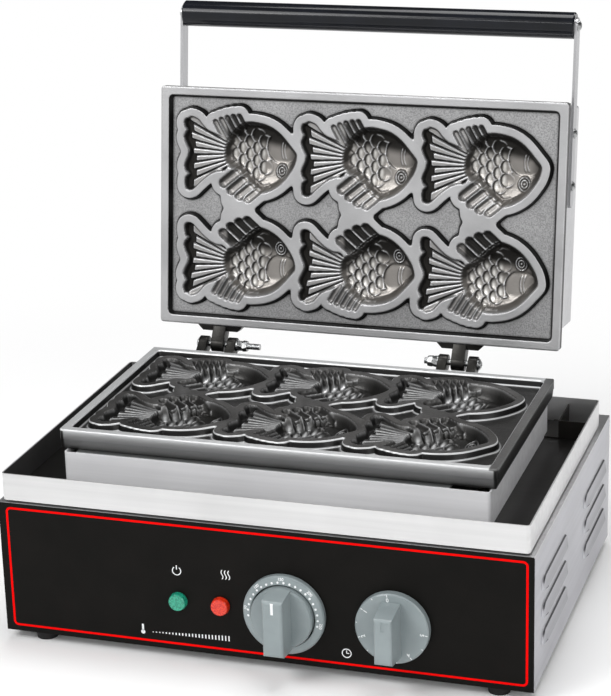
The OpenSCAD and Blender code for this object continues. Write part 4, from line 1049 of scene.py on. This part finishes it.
# Studio: a pale floor that goes to white away from the object, bright in front, dark above and behind
studio = {
    "floorReach": 14,
    "shadowRadius": (0.36, 0.85),
    "skyBehind": [(0.0, grey(0.85)), (0.05, grey(0.5)), (0.13, grey(0.07)), (0.7, grey(0.06)), (1.0, grey(0.3))],
    "skyInFront": [(0.0, grey(0.95)), (0.4, grey(0.9)), (0.8, grey(0.4)), (1.0, grey(0.3))],
}
floorMaterial, tree, shader, where = newMaterial("studio_floor_pale", {"Roughness": 0.9, "Specular IOR Level": 0.1})
mottle = addNode(tree, "ShaderNodeTexNoise", {"Scale": 1000 / 500.0, "Detail": 2.0},
                 {"Vector": where.outputs["Object"]})
tone = addNode(tree, "ShaderNodeValToRGB", links={"Fac": mottle.outputs[0]},
               stops=[(0.3, grey(0.88)), (0.7, grey(0.9))])
tree.links.new(tone.outputs[0], shader.inputs["Base Color"])
away = addNode(tree, "ShaderNodeVectorMath", {"operation": "LENGTH"}, {0: where.outputs["Object"]})
near, far = studio["shadowRadius"]
clear = addNode(tree, "ShaderNodeMapRange", {"interpolation_type": "SMOOTHSTEP", "From Min": near, "From Max": far},
                {"Value": away.outputs["Value"]})
path = addNode(tree, "ShaderNodeLightPath")
seen = path.outputs["Is Camera Ray"]
for ray in ("Is Glossy Ray", "Is Transmission Ray"):
    seen = addNode(tree, "ShaderNodeMath", {"operation": "MAXIMUM"}, {0: seen, 1: path.outputs[ray]}).outputs[0]
whiteness = addNode(tree, "ShaderNodeMath", {"operation": "MULTIPLY"}, {0: clear.outputs[0], 1: seen})
white = addNode(tree, "ShaderNodeEmission", {"Color": grey(1.0), "Strength": 1.0})
blend = addNode(tree, "ShaderNodeMixShader", links={0: whiteness.outputs[0], 1: shader.outputs[0], 2: white.outputs[0]})
output = next(node for node in tree.nodes if node.bl_idname == "ShaderNodeOutputMaterial")
tree.links.new(blend.outputs[0], output.inputs["Surface"])
bm = bmesh.new()
bmesh.ops.create_grid(bm, x_segments=4, y_segments=4, size=studio["floorReach"])
floorMesh = bpy.data.meshes.new("floor")
bm.to_mesh(floorMesh)
bm.free()
floorMesh.materials.append(floorMaterial)
floor = bpy.data.objects.new("floor", floorMesh)
bpy.context.scene.collection.objects.link(floor)

world = bpy.data.worlds.new("studio")
bpy.context.scene.world = world
world.use_nodes = True
tree = world.node_tree
tree.nodes.clear()
direction = addNode(tree, "ShaderNodeSeparateXYZ",
                    links={0: addNode(tree, "ShaderNodeTexCoord").outputs["Generated"]})
behind = addNode(tree, "ShaderNodeValToRGB", links={"Fac": direction.outputs[2]}, stops=studio["skyBehind"])
inFront = addNode(tree, "ShaderNodeValToRGB", links={"Fac": direction.outputs[2]}, stops=studio["skyInFront"])
forward = addNode(tree, "ShaderNodeMapRange", {"interpolation_type": "SMOOTHSTEP", "From Min": 0.1,
                                               "From Max": -0.6}, {"Value": direction.outputs[1]})
sky = addNode(tree, "ShaderNodeMix", {"data_type": "RGBA"},
              {0: forward.outputs[0], 6: behind.outputs[0], 7: inFront.outputs[0]})
background = addNode(tree, "ShaderNodeBackground", {"Strength": 1.0}, {"Color": sky.outputs[2]})
addNode(tree, "ShaderNodeOutputWorld", links={"Surface": background.outputs[0]})

lights = [
    {"name": "key", "place": (-1.1, -1.3, 1.7), "size": (1.2, 0.9), "power": 22},
    {"name": "fill", "place": (1.5, -1.2, 0.9), "size": (1.0, 1.0), "power": 8},
    {"name": "top", "place": (0.1, 0.2, 2.0), "size": (1.4, 0.8), "power": 22},
    {"name": "back", "place": (1.1, 1.7, 1.8), "size": (1.0, 1.0), "power": 14},
    {"name": "strip", "place": (-0.53, -1.35, 1.35), "size": (1.2, 0.06), "power": 2.5},
]
target = Vector((0, 0, 0.2))
for s in lights:
    light = bpy.data.lights.new(s["name"], "AREA")
    light.shape = "RECTANGLE"
    light.size, light.size_y = s["size"]
    light.energy = s["power"]
    holder = bpy.data.objects.new(s["name"], light)
    holder.location = s["place"]
    holder.rotation_euler = (target - Vector(s["place"])).to_track_quat("-Z", "Y").to_euler()
    bpy.context.scene.collection.objects.link(holder)
bpy.context.scene.view_settings.view_transform = "Standard"
print("studio made")
